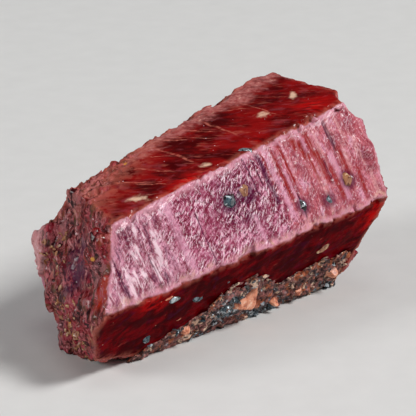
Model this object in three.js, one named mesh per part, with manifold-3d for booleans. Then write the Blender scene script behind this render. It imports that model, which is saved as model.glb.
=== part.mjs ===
// Rough ruby crystal with a rind of its matrix. Millimetres, +Z up.
//
// The crystal is one tapered six-sided corundum prism that lies on a prism face. Its narrow end, at -X,
// is an oblique break with a bevel above and below it, and its broad end, at +X, is broken nearly square to
// the axis along a parting plane. The rind is a wedge of matrix that replaces the lower front edge of the prism.
//
// Both solids are worked out in the crystal's own frame, where X is the prism axis, and are then tipped
// by the taper so that the base face is level.

import * as THREE from 'three';
import { mergeVertices } from 'three/addons/utils/BufferGeometryUtils.js';
import Module from 'manifold-3d';

// Driving dimensions, in millimetres and degrees.
const TAPER = 4.4; // each prism face leans out by this much towards the broad end
const FACES = [ // bearing of each prism face about the axis, and its distance from it at X = 0
  { name: 'top', bearing: 90, distance: 8.12 },
  { name: 'front', bearing: 150, distance: 9.22 },
  { name: 'lower_front', bearing: 210, distance: 9.13 },
  { name: 'base', bearing: 270, distance: 9.78 },
  { name: 'lower_back', bearing: 330, distance: 8.0 },
  { name: 'upper_back', bearing: 30, distance: 8.3 },
];
const SIXTH = 60; // degrees between two neighbouring prism faces
const NARROW_END = [ // planes X = at + alongY * Y + alongZ * Z of the oblique break
  { at: -21.35, alongY: 0.45, alongZ: -0.24 },
  { at: -19.95, alongY: 0.45, alongZ: 0.54 },
];
const BEVELS = [ // flat cuts above and below it, which keep what lies beyond their planes
  { at: -56.1, alongY: 1.24, alongZ: 5.72 },
  { at: -49.4, alongY: -1.07, alongZ: -3.55 },
];
const BROAD_END = [ // planes of the break along the parting
  { at: 13.9, alongY: 0.03, alongZ: 0.14 },
  { at: 25.5, alongY: 0.4, alongZ: 1.2 },
];
const EDGE_CHIP = { at: 5.5, reach: 4.5, depth: 0.6 }; // bruise on the ridge behind the top face

// Mesh steps, and the sizes of the surface's unevenness.
const STATIONS = 20; // along the axis
const STEPS_PER_FACE = 4; // across each prism face
const END_RINGS = 5; // from the rim to the middle of each end
const FACE_WAVE = 0.1; // height of the swell on a prism face
const FACE_WAVELENGTH = 9;
const END_ROUGHNESS = 0.45; // height of the lumps on a broken end
const END_WAVELENGTH = 6.5;
const END_FADE = 3; // the lumps of an end die out over the last 1 / END_FADE of the way to its rim
const RIM_SOLVES = 40; // repeats that settle where a line of the prism meets an end
const WELD = 1e-5; // points nearer to each other than this are one point
const WAVES = [ // the plane waves that add up to the unevenness
  { share: 0.3, x: 1.0, y: 0.3, z: -0.4, phase: 1.3 },
  { share: 0.3, x: -0.4, y: 0.8, z: 0.6, phase: 0.4 },
  { share: 0.2, x: 0.5, y: 1.3, z: -0.9, phase: 2.1 },
  { share: 0.2, x: 1.4, y: -0.6, z: 1.1, phase: 5.0 },
];

// Matrix rind: widths up the lower front face and in under the base, at stations along the axis.
const RIND = [
  { at: -16.8, up: 0.5, under: 0.4 },
  { at: -13.1, up: 1.8, under: 1.0 },
  { at: -9.1, up: 3.0, under: 1.6 },
  { at: -5.4, up: 5.2, under: 2.1 },
  { at: -1.9, up: 5.2, under: 2.4 },
  { at: 1.2, up: 3.7, under: 2.4 },
  { at: 4.4, up: 4.0, under: 2.3 },
  { at: 8.4, up: 4.4, under: 1.8 },
  { at: 11.8, up: 2.4, under: 0.9 },
];
const RIND_STATIONS = 26;
const RIND_STEPS_UP = 5; // across the part that lies on the lower front face
const RIND_SWELL = 0.22; // how far its lumps stand off that face
const RIND_WAVELENGTH = 4;
const GAP = 0.3; // clearance between the rind and the crystal
const GAP_SPREAD = 1.6; // a width grows by this many gaps, which keeps the gap along the sloping inner side
const CUTTER_PROUD = 1.5; // how far the cutting wedge stands out of the prism

const RUBY_RED = 0x8c1630;
const MATRIX_BROWN = 0x7b6251;

const radians = THREE.MathUtils.degToRad;
const lean = Math.tan(radians(TAPER));

/** A smooth, repeatable unevenness between -1 and 1. */
function unevenness(x, y, z, wavelength) {
  const k = (2 * Math.PI) / wavelength;
  return WAVES.reduce((sum, w) => sum + w.share * Math.sin(k * (w.x * x + w.y * y + w.z * z) + w.phase), 0);
}

/** The direction with a bearing about the axis, in the plane of the cross-section. */
function towards(bearing) {
  return new THREE.Vector2(Math.cos(radians(bearing)), Math.sin(radians(bearing)));
}

/** The corner of the prism's cross-section at x, between face index and the next one. */
function ridge(index, x) {
  const [a, b] = [FACES[index], FACES[(index + 1) % FACES.length]];
  const [outA, outB] = [towards(a.bearing), towards(b.bearing)];
  const [da, db] = [a.distance + lean * x, b.distance + lean * x];
  const det = outA.cross(outB);
  return new THREE.Vector2((da * outB.y - db * outA.y) / det, (outA.x * db - outB.x * da) / det);
}

/** A point of the outline at x; step counts round the section, STEPS_PER_FACE to a face. */
function outline(step, x) {
  const face = Math.floor(step / STEPS_PER_FACE) % FACES.length;
  const before = ridge((face + FACES.length - 1) % FACES.length, x);
  const point = before.lerp(ridge(face, x), (step % STEPS_PER_FACE) / STEPS_PER_FACE);
  const { name, bearing } = FACES[face];
  const onRidge = step % STEPS_PER_FACE === 0;
  const touchesBase = name === 'base' || (onRidge && name === 'lower_back');
  if (touchesBase) return point;
  let inward = FACE_WAVE * (1 + unevenness(x, point.x, point.y, FACE_WAVELENGTH));
  if (onRidge && name === 'top') {
    const along = (x - EDGE_CHIP.at) / EDGE_CHIP.reach;
    inward += EDGE_CHIP.depth * Math.max(0, 1 - along * along);
  }
  return point.addScaledVector(towards(onRidge ? bearing - SIXTH / 2 : bearing), -inward);
}

/** Where an end lies at (y, z): the narrow end is the highest of its planes, the broad end the lowest. */
function endAt(planes, y, z) {
  const heights = planes.map((p) => p.at + p.alongY * y + p.alongZ * z);
  return planes === NARROW_END ? Math.max(...heights) : Math.min(...heights);
}

/** The x at which the line of the prism numbered step meets an end. */
function rimAt(planes, step) {
  let x = planes[0].at;
  for (let i = 0; i < RIM_SOLVES; i += 1) {
    const point = outline(step, x);
    x = endAt(planes, point.x, point.y);
  }
  return x;
}

/** The indices that close a row of rings of equal length, with a fan at each end. */
function closedRings(rings, perRing, firstCentre, lastCentre) {
  const triangles = [];
  for (let j = 0; j < perRing; j += 1) {
    const next = (j + 1) % perRing;
    for (let r = 0; r < rings - 1; r += 1) {
      const [a, b] = [r * perRing + j, r * perRing + next];
      triangles.push(a, b, b + perRing, a, b + perRing, a + perRing);
    }
    const last = (rings - 1) * perRing;
    triangles.push(firstCentre, next, j, lastCentre, last + j, last + next);
  }
  return triangles;
}

/** A manifold solid from points and the triangles between them, which face outwards. */
function solidFrom(wasm, points, triangles) {
  const geometry = new THREE.BufferGeometry();
  geometry.setAttribute('position', new THREE.Float32BufferAttribute(points.flatMap((p) => p.toArray()), 3));
  geometry.setIndex(triangles);
  const merged = mergeVertices(geometry, WELD);
  const mesh = new wasm.Mesh({
    numProp: 3,
    vertProperties: merged.getAttribute('position').array,
    triVerts: Uint32Array.from(merged.getIndex().array),
  });
  return new wasm.Manifold(mesh);
}

/** The prism with both its ends, before the rind is cut out of it. */
function prismSolid(wasm) {
  const perRing = FACES.length * STEPS_PER_FACE;
  const steps = [...Array(perRing).keys()];
  const [narrow, broad] = [NARROW_END, BROAD_END].map((end) => steps.map((step) => rimAt(end, step)));
  const rings = [];
  const capRing = (planes, rims, share) => steps.map((step) => {
    const rim = outline(step, rims[step]);
    const [y, z] = [rim.x * share, rim.y * share];
    const lump = END_ROUGHNESS * unevenness(0, y, z, END_WAVELENGTH) * Math.min(1, END_FADE * (1 - share));
    return new THREE.Vector3(endAt(planes, y, z) + lump, y, z);
  });
  for (let r = 1; r < END_RINGS; r += 1) rings.push(capRing(NARROW_END, narrow, r / END_RINGS));
  for (let i = 0; i <= STATIONS; i += 1) {
    rings.push(steps.map((step) => {
      const x = THREE.MathUtils.lerp(narrow[step], broad[step], i / STATIONS);
      const point = outline(step, x);
      return new THREE.Vector3(x, point.x, point.y);
    }));
  }
  for (let r = END_RINGS - 1; r > 0; r -= 1) rings.push(capRing(BROAD_END, broad, r / END_RINGS));
  const points = rings.flat();
  const centres = [NARROW_END, BROAD_END].map((end) => new THREE.Vector3(endAt(end, 0, 0), 0, 0));
  const triangles = closedRings(rings.length, perRing, points.length, points.length + 1);
  return solidFrom(wasm, [...points, ...centres], triangles);
}

/** A solid without what lies short of a bevel's plane. */
function bevelled(solid, { at, alongY, alongZ }) {
  const size = Math.hypot(1, alongY, alongZ);
  return solid.trimByPlane([1 / size, -alongY / size, -alongZ / size], at / size);
}

/** A width of the rind at x, blended smoothly between its stations. */
function rindWidth(key, x) {
  const next = Math.min(Math.max(RIND.findIndex((r) => r.at > x), 1), RIND.length - 1);
  const [a, b] = [RIND[next - 1], RIND[next]];
  return THREE.MathUtils.lerp(a[key], b[key], THREE.MathUtils.smoothstep(x, a.at, b.at));
}

/** The rind, or, with a clearance, the larger wedge that is cut out of the prism for it. */
function rindSolid(wasm, clearance) {
  const cutter = clearance > 0;
  const corner = FACES.findIndex((f) => f.name === 'lower_front');
  const out = towards(FACES[corner].bearing);
  const up = out.clone().rotateAround(new THREE.Vector2(), -Math.PI / 2);
  const under = new THREE.Vector2(1, 0);
  const [first, last] = [RIND[0].at - clearance, RIND[RIND.length - 1].at + clearance];
  const rings = [];
  for (let i = 0; i <= RIND_STATIONS; i += 1) {
    const x = THREE.MathUtils.lerp(first, last, i / RIND_STATIONS);
    const edge = ridge(corner, x);
    const [rise, reach] = ['up', 'under'].map((key) => rindWidth(key, x) + GAP_SPREAD * clearance);
    const ring = [];
    for (let k = 0; k <= RIND_STEPS_UP; k += 1) {
      const share = k / RIND_STEPS_UP;
      const wave = 1 + unevenness(x, share * rise, 0, RIND_WAVELENGTH);
      const stand = cutter ? CUTTER_PROUD : RIND_SWELL * wave * Math.sin(Math.PI * share);
      ring.push(edge.clone().addScaledVector(up, rise * (1 - share)).addScaledVector(out, stand));
    }
    if (cutter) {
      ring.push(edge.clone().subScalar(CUTTER_PROUD));
      ring.push(edge.clone().addScaledVector(under, reach).sub(new THREE.Vector2(0, CUTTER_PROUD)));
    }
    ring.push(edge.clone().addScaledVector(under, reach));
    if (cutter) ring.push(edge.clone().addScaledVector(up, rise));
    rings.push(ring.map((p) => new THREE.Vector3(x, p.x, p.y)));
  }
  const middle = (ring) => ring.reduce((sum, p) => sum.add(p), new THREE.Vector3()).divideScalar(ring.length);
  const points = [...rings.flat(), middle(rings[0]), middle(rings[rings.length - 1])];
  const count = points.length - 2;
  return solidFrom(wasm, points, closedRings(rings.length, rings[0].length, count, count + 1));
}

/** A named three.js mesh from a manifold solid, tipped by the taper so that its base is level. */
function levelMesh(name, solid, colour, roughness) {
  const { vertProperties, triVerts } = solid.getMesh();
  const geometry = new THREE.BufferGeometry();
  geometry.setAttribute('position', new THREE.Float32BufferAttribute(vertProperties, 3));
  geometry.setIndex(new THREE.Uint32BufferAttribute(triVerts, 1));
  geometry.rotateY(-radians(TAPER));
  geometry.computeVertexNormals();
  const material = new THREE.MeshStandardMaterial({ color: colour, roughness, metalness: 0 });
  const mesh = new THREE.Mesh(geometry, material);
  mesh.name = name;
  return mesh;
}

const wasm = await Module();
wasm.setup();

const rind = rindSolid(wasm, 0);
const crystal = BEVELS.reduce(bevelled, prismSolid(wasm)).subtract(rindSolid(wasm, GAP));

const specimen = new THREE.Group();
specimen.add(levelMesh('ruby_crystal', crystal, RUBY_RED, 0.35));
specimen.add(levelMesh('matrix_rind', rind, MATRIX_BROWN, 0.9));

// The origin is the middle of the underside of the whole specimen's box.
const box = new THREE.Box3().setFromObject(specimen);
const centre = box.getCenter(new THREE.Vector3());
specimen.position.set(-centre.x, -centre.y, -box.min.z);

export default specimen;
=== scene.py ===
"""The looks of a rough ruby crystal and its rind of matrix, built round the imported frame.

Shapes are grown as distance fields in Geometry Nodes: the prism faces, its two broken ends and the
rind are planes and noises, and the solid is the space in which they are all below zero. Inside the
trees lengths are millimetres in the crystal's own frame, where X is the prism axis.
"""

import logging
import math
from dataclasses import dataclass, field
from enum import Enum

import bmesh
import bpy
import numpy as np
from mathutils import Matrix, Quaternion, Vector


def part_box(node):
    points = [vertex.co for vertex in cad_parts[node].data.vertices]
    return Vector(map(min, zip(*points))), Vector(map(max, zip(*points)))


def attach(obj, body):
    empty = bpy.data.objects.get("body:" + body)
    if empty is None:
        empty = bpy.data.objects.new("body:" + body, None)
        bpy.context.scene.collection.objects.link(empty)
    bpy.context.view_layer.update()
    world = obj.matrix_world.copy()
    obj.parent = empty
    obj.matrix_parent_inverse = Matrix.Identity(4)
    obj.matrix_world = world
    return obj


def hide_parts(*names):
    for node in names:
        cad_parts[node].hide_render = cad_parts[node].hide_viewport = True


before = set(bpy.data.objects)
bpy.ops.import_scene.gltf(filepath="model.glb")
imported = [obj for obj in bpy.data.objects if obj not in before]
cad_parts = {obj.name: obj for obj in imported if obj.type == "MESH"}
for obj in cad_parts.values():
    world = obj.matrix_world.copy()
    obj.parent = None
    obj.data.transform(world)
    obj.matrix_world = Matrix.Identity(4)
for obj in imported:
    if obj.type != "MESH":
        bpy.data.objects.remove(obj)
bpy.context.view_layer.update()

LOG = logging.getLogger("ruby")
MM = 0.001
ROOT = "root"
GROWTH = "growth_mm"  # attribute: place in the crystal's own frame, in millimetres
FRONTS = "front_faces"  # attribute: how much a point lies on the top, front and lower front faces
REARS = "rear_faces"  # attribute: the same for the base, lower back and upper back faces
BREAKS = "breaks"  # attribute: the same for the narrow end and the broad end, then nearness to a ridge
BAKE_MAP = "OFBake"
COLLAPSED = 0.002 * MM  # an edge shorter than this is removed
FAR_INSIDE = -99.0  # millimetres: lower than any distance that is compared with it
CORNER = math.radians(60)  # between one prism face and the next

Triple = tuple[float, float, float]
Colour = tuple[float, float, float]

# Directions in the crystal's frame
ETCHED_NORMAL: Triple = (-0.077, -0.863, 0.499)
ETCHED_UP: Triple = (0.0, 0.5, 0.866)  # across the etched faces, square to the axis
SLANT: Triple = (0.887, 0.231, 0.401)  # the main set of etch strokes
STEEP: Triple = (0.66, 0.375, 0.65)  # the second set
COUNTER: Triple = (-0.42, 0.45, 0.78)  # the strokes that cross them
FEATHER: Triple = (0.683, -0.731, 0.0)  # the feathers in the glassy faces
UPWARDS: Triple = (0.0, 0.0, 1.0)
UPRIGHT: Triple = (0.57, 0.4, 0.72)  # the bands of the narrow break
ACROSS_BREAK: Triple = (0.35, -0.91, 0.23)  # square to them, in the break

PLATES: Triple = (40.0, 4.4, 4.4)  # size of the parting plates of the broad break, in millimetres
SMALL_PLATES: Triple = (30.0, 1.7, 1.7)


def in_scene(name: str, data: bpy.types.ID) -> bpy.types.Object:
    """Returns a new object that holds the data, at the origin of the scene."""
    made = bpy.data.objects.new(name, data)
    bpy.context.scene.collection.objects.link(made)
    return made


# ---------------------------------------------------------------- arithmetic on node trees


@dataclass(frozen=True)
class Field:
    """A value or vector of a node tree. Arithmetic on it adds nodes to the tree."""

    script: "NodeScript"
    socket: bpy.types.NodeSocket

    def __add__(self, other: "Operand") -> "Field":
        """Returns the sum."""
        return self.script.combine("ADD", self, other)

    def __sub__(self, other: "Operand") -> "Field":
        """Returns the difference."""
        return self.script.combine("SUBTRACT", self, other)

    def __mul__(self, other: "Operand") -> "Field":
        """Returns the product."""
        return self.script.combine("MULTIPLY", self, other)

    def __truediv__(self, other: "Operand") -> "Field":
        """Returns the quotient."""
        return self.script.combine("DIVIDE", self, other)

    def __rsub__(self, other: "Operand") -> "Field":
        """Returns other less this field."""
        return self.script.combine("SUBTRACT", other, self)

    def __neg__(self) -> "Field":
        """Returns the field with its sign turned."""
        return self * -1.0

    __radd__ = __add__
    __rmul__ = __mul__


Operand = Field | float | Triple


class NodeScript:
    """Writes a geometry or shader node tree as arithmetic."""

    def __init__(self, tree: bpy.types.NodeTree) -> None:
        """Args: tree: the tree to add nodes to."""
        self.tree = tree

    def node(self, kind: str, **settings: object) -> bpy.types.Node:
        """Adds a node.

        Args:
            kind: the node's type name.
            settings: properties of the node.

        Returns:
            The node.
        """
        made = self.tree.nodes.new(kind)
        for key, value in settings.items():
            setattr(made, key, value)
        return made

    def feed(self, socket: bpy.types.NodeSocket, value: Operand) -> None:
        """Links a field to a socket, or sets the socket's plain value.

        Args:
            socket: the input.
            value: what it takes.
        """
        if isinstance(value, Field):
            self.tree.links.new(value.socket, socket)
        elif isinstance(value, tuple) and socket.type == "RGBA":
            socket.default_value = (*value, 1.0)
        else:
            socket.default_value = value

    def call(self, made: bpy.types.Node, inputs: dict[int | str, object], output: int | str = 0) -> Field:
        """Feeds a node's inputs.

        Args:
            made: the node.
            inputs: values by socket name or number.
            output: the output to return.

        Returns:
            That output as a field.
        """
        for key, value in inputs.items():
            self.feed(made.inputs[key], value)
        return Field(self, made.outputs[output])

    def combine(self, operation: str, *values: Operand) -> Field:
        """Scalar or vector arithmetic, by what the first field is.

        Args:
            operation: the operation's name.
            values: the operands.

        Returns:
            The result.
        """
        is_vector = any(
            isinstance(v, tuple) or (isinstance(v, Field) and v.socket.type in ("VECTOR", "RGBA"))
            for v in values
        )
        if not is_vector:
            return self.math(operation, *values)
        spread = []
        for value in values:
            if isinstance(value, (int, float)):
                value = (value, value, value)
            elif isinstance(value, Field) and value.socket.type == "VALUE":
                value = self.vector(value, value, value)
            spread.append(value)
        made = self.node("ShaderNodeVectorMath", operation=operation)
        return self.call(made, dict(enumerate(spread)))

    def math(self, operation: str, *values: Operand) -> Field:
        """Scalar arithmetic.

        Args:
            operation: the Math node's operation.
            values: the operands.

        Returns:
            The result.
        """
        return self.call(self.node("ShaderNodeMath", operation=operation), dict(enumerate(values)))

    def fixed(self, value: float) -> Field:
        """Returns a plain number as a field."""
        return self.math("ADD", value, 0.0)

    def dot(self, at: Field, direction: Field | Triple) -> Field:
        """Returns how far at lies along direction."""
        made = self.node("ShaderNodeVectorMath", operation="DOT_PRODUCT")
        return self.call(made, {0: at, 1: direction}, "Value")

    def length(self, at: Field) -> Field:
        """Returns the length of a vector."""
        return self.call(self.node("ShaderNodeVectorMath", operation="LENGTH"), {0: at}, "Value")

    def split(self, at: Field) -> tuple[Field, Field, Field]:
        """Returns the three parts of a vector or a colour."""
        of_colour = at.socket.type == "RGBA" and self.tree.type == "SHADER"
        made = self.node("ShaderNodeSeparateColor" if of_colour else "ShaderNodeSeparateXYZ")
        self.feed(made.inputs[0], at)
        return tuple(Field(self, made.outputs[i]) for i in range(3))

    def vector(self, x: Operand, y: Operand, z: Operand) -> Field:
        """Returns a vector from its three parts."""
        return self.call(self.node("ShaderNodeCombineXYZ"), {0: x, 1: y, 2: z})

    def highest(self, *values: Operand) -> Field:
        """Returns the largest of the values."""
        top = values[0]
        for value in values[1:]:
            top = self.math("MAXIMUM", top, value)
        return top

    def lowest(self, *values: Operand) -> Field:
        """Returns the smallest of the values."""
        least = values[0]
        for value in values[1:]:
            least = self.math("MINIMUM", least, value)
        return least

    def rounded_max(self, a: Operand, b: Operand, width: Operand) -> Field:
        """Returns the larger value, blended over width where the two are close."""
        return self.math("SMOOTH_MAX", a, b, width)

    def ramp(self, value: Operand, low: float, high: float) -> Field:
        """Returns 0 below low and 1 above high, or the reverse where low is above high, eased between."""
        made = self.node("ShaderNodeMapRange", interpolation_type="SMOOTHSTEP")
        return self.call(made, {0: value, 1: low, 2: high, 3: 0.0, 4: 1.0})

    def mix(self, share: Operand, a: Operand, b: Operand) -> Field:
        """Returns a plus share of the way to b, for scalars."""
        return self.call(self.node("ShaderNodeMix", data_type="FLOAT"), {0: share, 2: a, 3: b})

    def tint(self, share: Operand, a: Operand, b: Operand) -> Field:
        """Returns colour a plus share of the way to colour b."""
        made = self.node("ShaderNodeMix", data_type="RGBA", clamp_factor=True)
        return self.call(made, {0: share, 6: a, 7: b}, 2)

    def wash(self, body: Operand, colour: Colour, value: Field, low: float, high: float,
             *shares: Operand) -> Field:
        """Washes a colour over another where a value passes a threshold.

        Args:
            body: the colour below.
            colour: the colour laid over it.
            value: what decides where.
            low: where the wash starts.
            high: where it is full.
            shares: factors that weaken it.

        Returns:
            The new colour.
        """
        share = self.ramp(value, low, high)
        for factor in shares:
            share = share * factor
        return self.tint(share, body, colour)

    def placed(self, at: Field, sizes: Triple, shift: Triple) -> Field:
        """Returns at divided by sizes and moved by shift."""
        scale = tuple(1.0 / size for size in sizes)
        if self.tree.type == "SHADER":
            made = self.node("ShaderNodeMapping")
            return self.call(made, {"Vector": at, "Location": shift, "Scale": scale})
        return at * scale + shift

    def noise(self, at: Field, grain: float | Triple, seed: float = 0.0, detail: float = 2.0,
              distortion: float = 0.0, roughness: float = 0.5) -> Field:
        """Smooth noise from 0 to 1.

        Args:
            at: where, in millimetres.
            grain: size of the pattern in millimetres, in one or three directions.
            seed: shifts the pattern.
            detail: octaves.
            distortion: how twisted it is.
            roughness: weight of the finer octaves.

        Returns:
            The noise.
        """
        sizes = grain if isinstance(grain, tuple) else (grain, grain, grain)
        shifted = self.placed(at, sizes, (seed * 7.31, seed * -3.17, seed * 5.83))
        made = self.node("ShaderNodeTexNoise")
        return self.call(made, {"Vector": shifted, "Scale": 1.0, "Detail": detail,
                                "Distortion": distortion, "Roughness": roughness})

    def cells(self, at: Field, grain: float, seed: float = 0.0, feature: str = "F1",
              output: str = "Distance") -> Field:
        """Cell noise.

        Args:
            at: where, in millimetres.
            grain: size of a cell in millimetres.
            seed: shifts the pattern.
            feature: the Voronoi feature.
            output: the node's output.

        Returns:
            The distance, or a random colour for each cell.
        """
        shifted = self.placed(at, (grain,) * 3, (seed * 3.77, seed * 9.13, seed * -6.41))
        made = self.node("ShaderNodeTexVoronoi", feature=feature)
        return self.call(made, {"Vector": shifted, "Scale": 1.0}, output)

    def facets(self, at: Field, size: Triple, seed: float = 0.0) -> Field:
        """The relief of a surface broken into flat facets that lean at random.

        Args:
            at: where, in millimetres.
            size: size of a facet in three directions, in millimetres.
            seed: shifts the pattern.

        Returns:
            Height in millimetres, about zero on average.
        """
        shifted = self.placed(at, size, (seed * 3.77, seed * 9.13, seed * -6.41))
        made = self.node("ShaderNodeTexVoronoi", feature="F1")
        offset = shifted - self.call(made, {"Vector": shifted, "Scale": 1.0}, "Position")
        lean = Field(self, made.outputs["Color"]) - (0.5, 0.5, 0.5)
        return self.dot(offset, lean) * (2.0 * min(size))

    def contour(self, value: Field, width: float) -> Field:
        """Returns 1 along the lines where a noise is at its middle, fading out over width."""
        return self.ramp(self.math("ABSOLUTE", value - 0.5), width, width * 0.3)

    def turned(self, at: Field, along: Triple, across: Triple) -> Field:
        """Returns at in axes that run along, across and square to both."""
        a, b = Vector(along).normalized(), Vector(across).normalized()
        c = a.cross(b).normalized()
        return self.vector(*(self.dot(at, tuple(axis)) for axis in (a, b, c)))

    def laid(self, at: Field, along: Triple, normal: Triple) -> Field:
        """Returns at in axes that run along a direction, across it in a face, and out of the face."""
        return self.turned(at, along, tuple(Vector(normal).cross(Vector(along)).normalized()))

    def away(self, at: Field, centre: Triple, size: Triple) -> Field:
        """Returns how far a point is from an ellipsoid's centre, which is 1 on its surface."""
        return self.length((at - centre) / size)

    def blob(self, at: Field, centre: Triple, size: Triple, soft: float = 0.6) -> Field:
        """Returns 1 inside an ellipsoid that fades to 0 at its edge; soft is the faded share."""
        return self.ramp(self.away(at, centre, size), 1.0, 1.0 - soft)

    def own_place(self) -> Field:
        """Returns a point's place in its object, in metres, in a shader tree."""
        return Field(self, self.node("ShaderNodeTexCoord").outputs["Object"])

    def attribute(self, name: str) -> Field:
        """Returns a mesh's stored vector, in a shader tree."""
        made = self.node("ShaderNodeAttribute", attribute_name=name)
        return Field(self, made.outputs["Vector"])


class GrowthTree(NodeScript):
    """A Geometry Nodes tree with named inputs that makes one closed mesh."""

    def __init__(self, name: str, inputs: dict[str, float]) -> None:
        """Starts the tree.

        Args:
            name: the tree's name.
            inputs: its named inputs and their values.
        """
        super().__init__(bpy.data.node_groups.new(name, "GeometryNodeTree"))
        self.values = inputs
        self.tree.interface.new_socket("Geometry", in_out="OUTPUT", socket_type="NodeSocketGeometry")
        for key in inputs:
            self.tree.interface.new_socket(key, in_out="INPUT", socket_type="NodeSocketFloat")
        self.entry = self.node("NodeGroupInput")

    def given(self, name: str) -> Field:
        """Returns a named input."""
        return Field(self, self.entry.outputs[name])

    def solid(self, density: Field, low: Vector, high: Vector, voxel: float, floor: float) -> Field:
        """The surface of the space where a field is above zero, cut level at the floor.

        Args:
            density: the field, in millimetres.
            low: lowest corner of the space, in metres.
            high: highest corner.
            voxel: size of a cell, in metres.
            floor: the floor's height, in metres.

        Returns:
            The mesh.
        """
        _, _, height = self.split(self.position())
        density = self.lowest(density, (height - floor) * (1.0 / MM))
        cube = self.node("GeometryNodeVolumeCube")
        steps = [max(8, round(length / voxel)) for length in high - low]
        cells = self.call(cube, {"Density": density, "Background": -1.0, "Min": tuple(low),
                                 "Max": tuple(high), **dict(zip(("Resolution X", "Resolution Y",
                                                                 "Resolution Z"), steps))})
        surface = self.node("GeometryNodeVolumeToMesh")
        return self.call(surface, {"Volume": cells, "Threshold": 0.0, "Adaptivity": 0.0})

    def shifted(self, geometry: Field, offset: Field) -> Field:
        """Returns the geometry with each point moved by offset, in metres."""
        return self.call(self.node("GeometryNodeSetPosition"), {"Geometry": geometry, "Offset": offset})

    def stored(self, geometry: Field, name: str, value: Field) -> Field:
        """Returns the geometry with a vector stored on its points."""
        made = self.node("GeometryNodeStoreNamedAttribute", data_type="FLOAT_VECTOR", domain="POINT")
        return self.call(made, {"Geometry": geometry, "Name": name, "Value": value})

    def position(self) -> Field:
        """Returns each point's position, in metres."""
        return Field(self, self.node("GeometryNodeInputPosition").outputs[0])

    def normal(self) -> Field:
        """Returns each point's normal."""
        return Field(self, self.node("GeometryNodeInputNormal").outputs[0])

    def grown(self, name: str, geometry: Field, material: bpy.types.Material) -> bpy.types.Object:
        """Ends the tree and turns its result into a plain mesh object.

        Args:
            name: the new object's name.
            geometry: the last geometry.
            material: its material.

        Returns:
            The object, at the origin.
        """
        real = self.call(self.node("GeometryNodeRealizeInstances"), {0: geometry})
        dressed = self.call(self.node("GeometryNodeSetMaterial"), {"Geometry": real, "Material": material})
        self.feed(self.node("NodeGroupOutput").inputs[0], dressed)
        seed_object = in_scene(name + "_seed", bpy.data.meshes.new(name + "_seed"))
        modifier = seed_object.modifiers.new(name, "NODES")
        modifier.node_group = self.tree
        for item in self.tree.interface.items_tree:
            if item.in_out == "INPUT":
                modifier[item.identifier] = self.values[item.name]
        evaluated = seed_object.evaluated_get(bpy.context.evaluated_depsgraph_get())
        mesh = bpy.data.meshes.new_from_object(evaluated)
        seed_object.modifiers.clear()
        bpy.data.objects.remove(seed_object)
        mesh.name = name
        mesh.shade_smooth()
        return in_scene(name, mesh)


# ---------------------------------------------------------------- the crystal's geometry


class Face(Enum):
    """The faces of the prism, by their bearing about its axis, in order round it."""

    TOP = 90
    FRONT = 150
    LOWER_FRONT = 210
    BASE = 270
    LOWER_BACK = 330
    UPPER_BACK = 30

    @property
    def outward(self) -> tuple[float, float]:
        """The Y and Z of the direction that the face looks in."""
        return math.cos(math.radians(self.value)), math.sin(math.radians(self.value))


@dataclass(frozen=True)
class BreakPlane:
    """A plane X = at + along_y * Y + along_z * Z of a broken end, in millimetres."""

    at: float
    along_y: float
    along_z: float

    def beyond(self, x: Field, y: Field, z: Field) -> Field:
        """Returns how far a point lies past the plane towards +X."""
        steep = math.sqrt(1 + self.along_y**2 + self.along_z**2)
        return (x - y * self.along_y - z * self.along_z - self.at) * (1 / steep)


@dataclass(frozen=True)
class PrismShape:
    """The prism's planes, as the CAD solid has them, in millimetres and degrees."""

    taper: float = 4.4
    distances: dict[Face, float] = field(default_factory=lambda: {
        Face.TOP: 8.12, Face.FRONT: 9.22, Face.LOWER_FRONT: 9.13,
        Face.BASE: 9.78, Face.LOWER_BACK: 8.0, Face.UPPER_BACK: 8.3,
    })
    narrow: tuple[BreakPlane, ...] = (
        BreakPlane(-21.35, 0.45, -0.24), BreakPlane(-19.95, 0.45, 0.54),
        BreakPlane(-56.1, 1.24, 5.72), BreakPlane(-49.4, -1.07, -3.55),
    )
    broad: tuple[BreakPlane, ...] = (BreakPlane(13.9, 0.03, 0.14), BreakPlane(25.5, 0.4, 1.2))
    rounds: int = 30  # by when a corner's place has settled

    @property
    def lean(self) -> float:
        """How much each face moves out for a millimetre along the axis."""
        return math.tan(math.radians(self.taper))

    def ridge(self, face: Face, following: Face, x: float) -> np.ndarray:
        """Returns Y and Z of the corner between two faces at x."""
        sides = np.array([face.outward, following.outward])
        return np.linalg.solve(sides, [self.distances[f] + self.lean * x for f in (face, following)])

    def corners(self) -> np.ndarray:
        """Returns the prism's twelve corners in the level frame, with the axis through the origin."""
        faces, found = list(Face), []
        for planes, pick in ((self.narrow, max), (self.broad, min)):
            for i, face in enumerate(faces):
                x = 0.0
                for _ in range(self.rounds):
                    y, z = self.ridge(face, faces[(i + 1) % len(faces)], x)
                    x = pick(p.at + p.along_y * y + p.along_z * z for p in planes)
                found.append((x, y, z))
        tip = math.radians(self.taper)
        level = np.array([[math.cos(tip), 0, -math.sin(tip)], [0, 1, 0], [math.sin(tip), 0, math.cos(tip)]])
        return np.array(found) @ level.T


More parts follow.
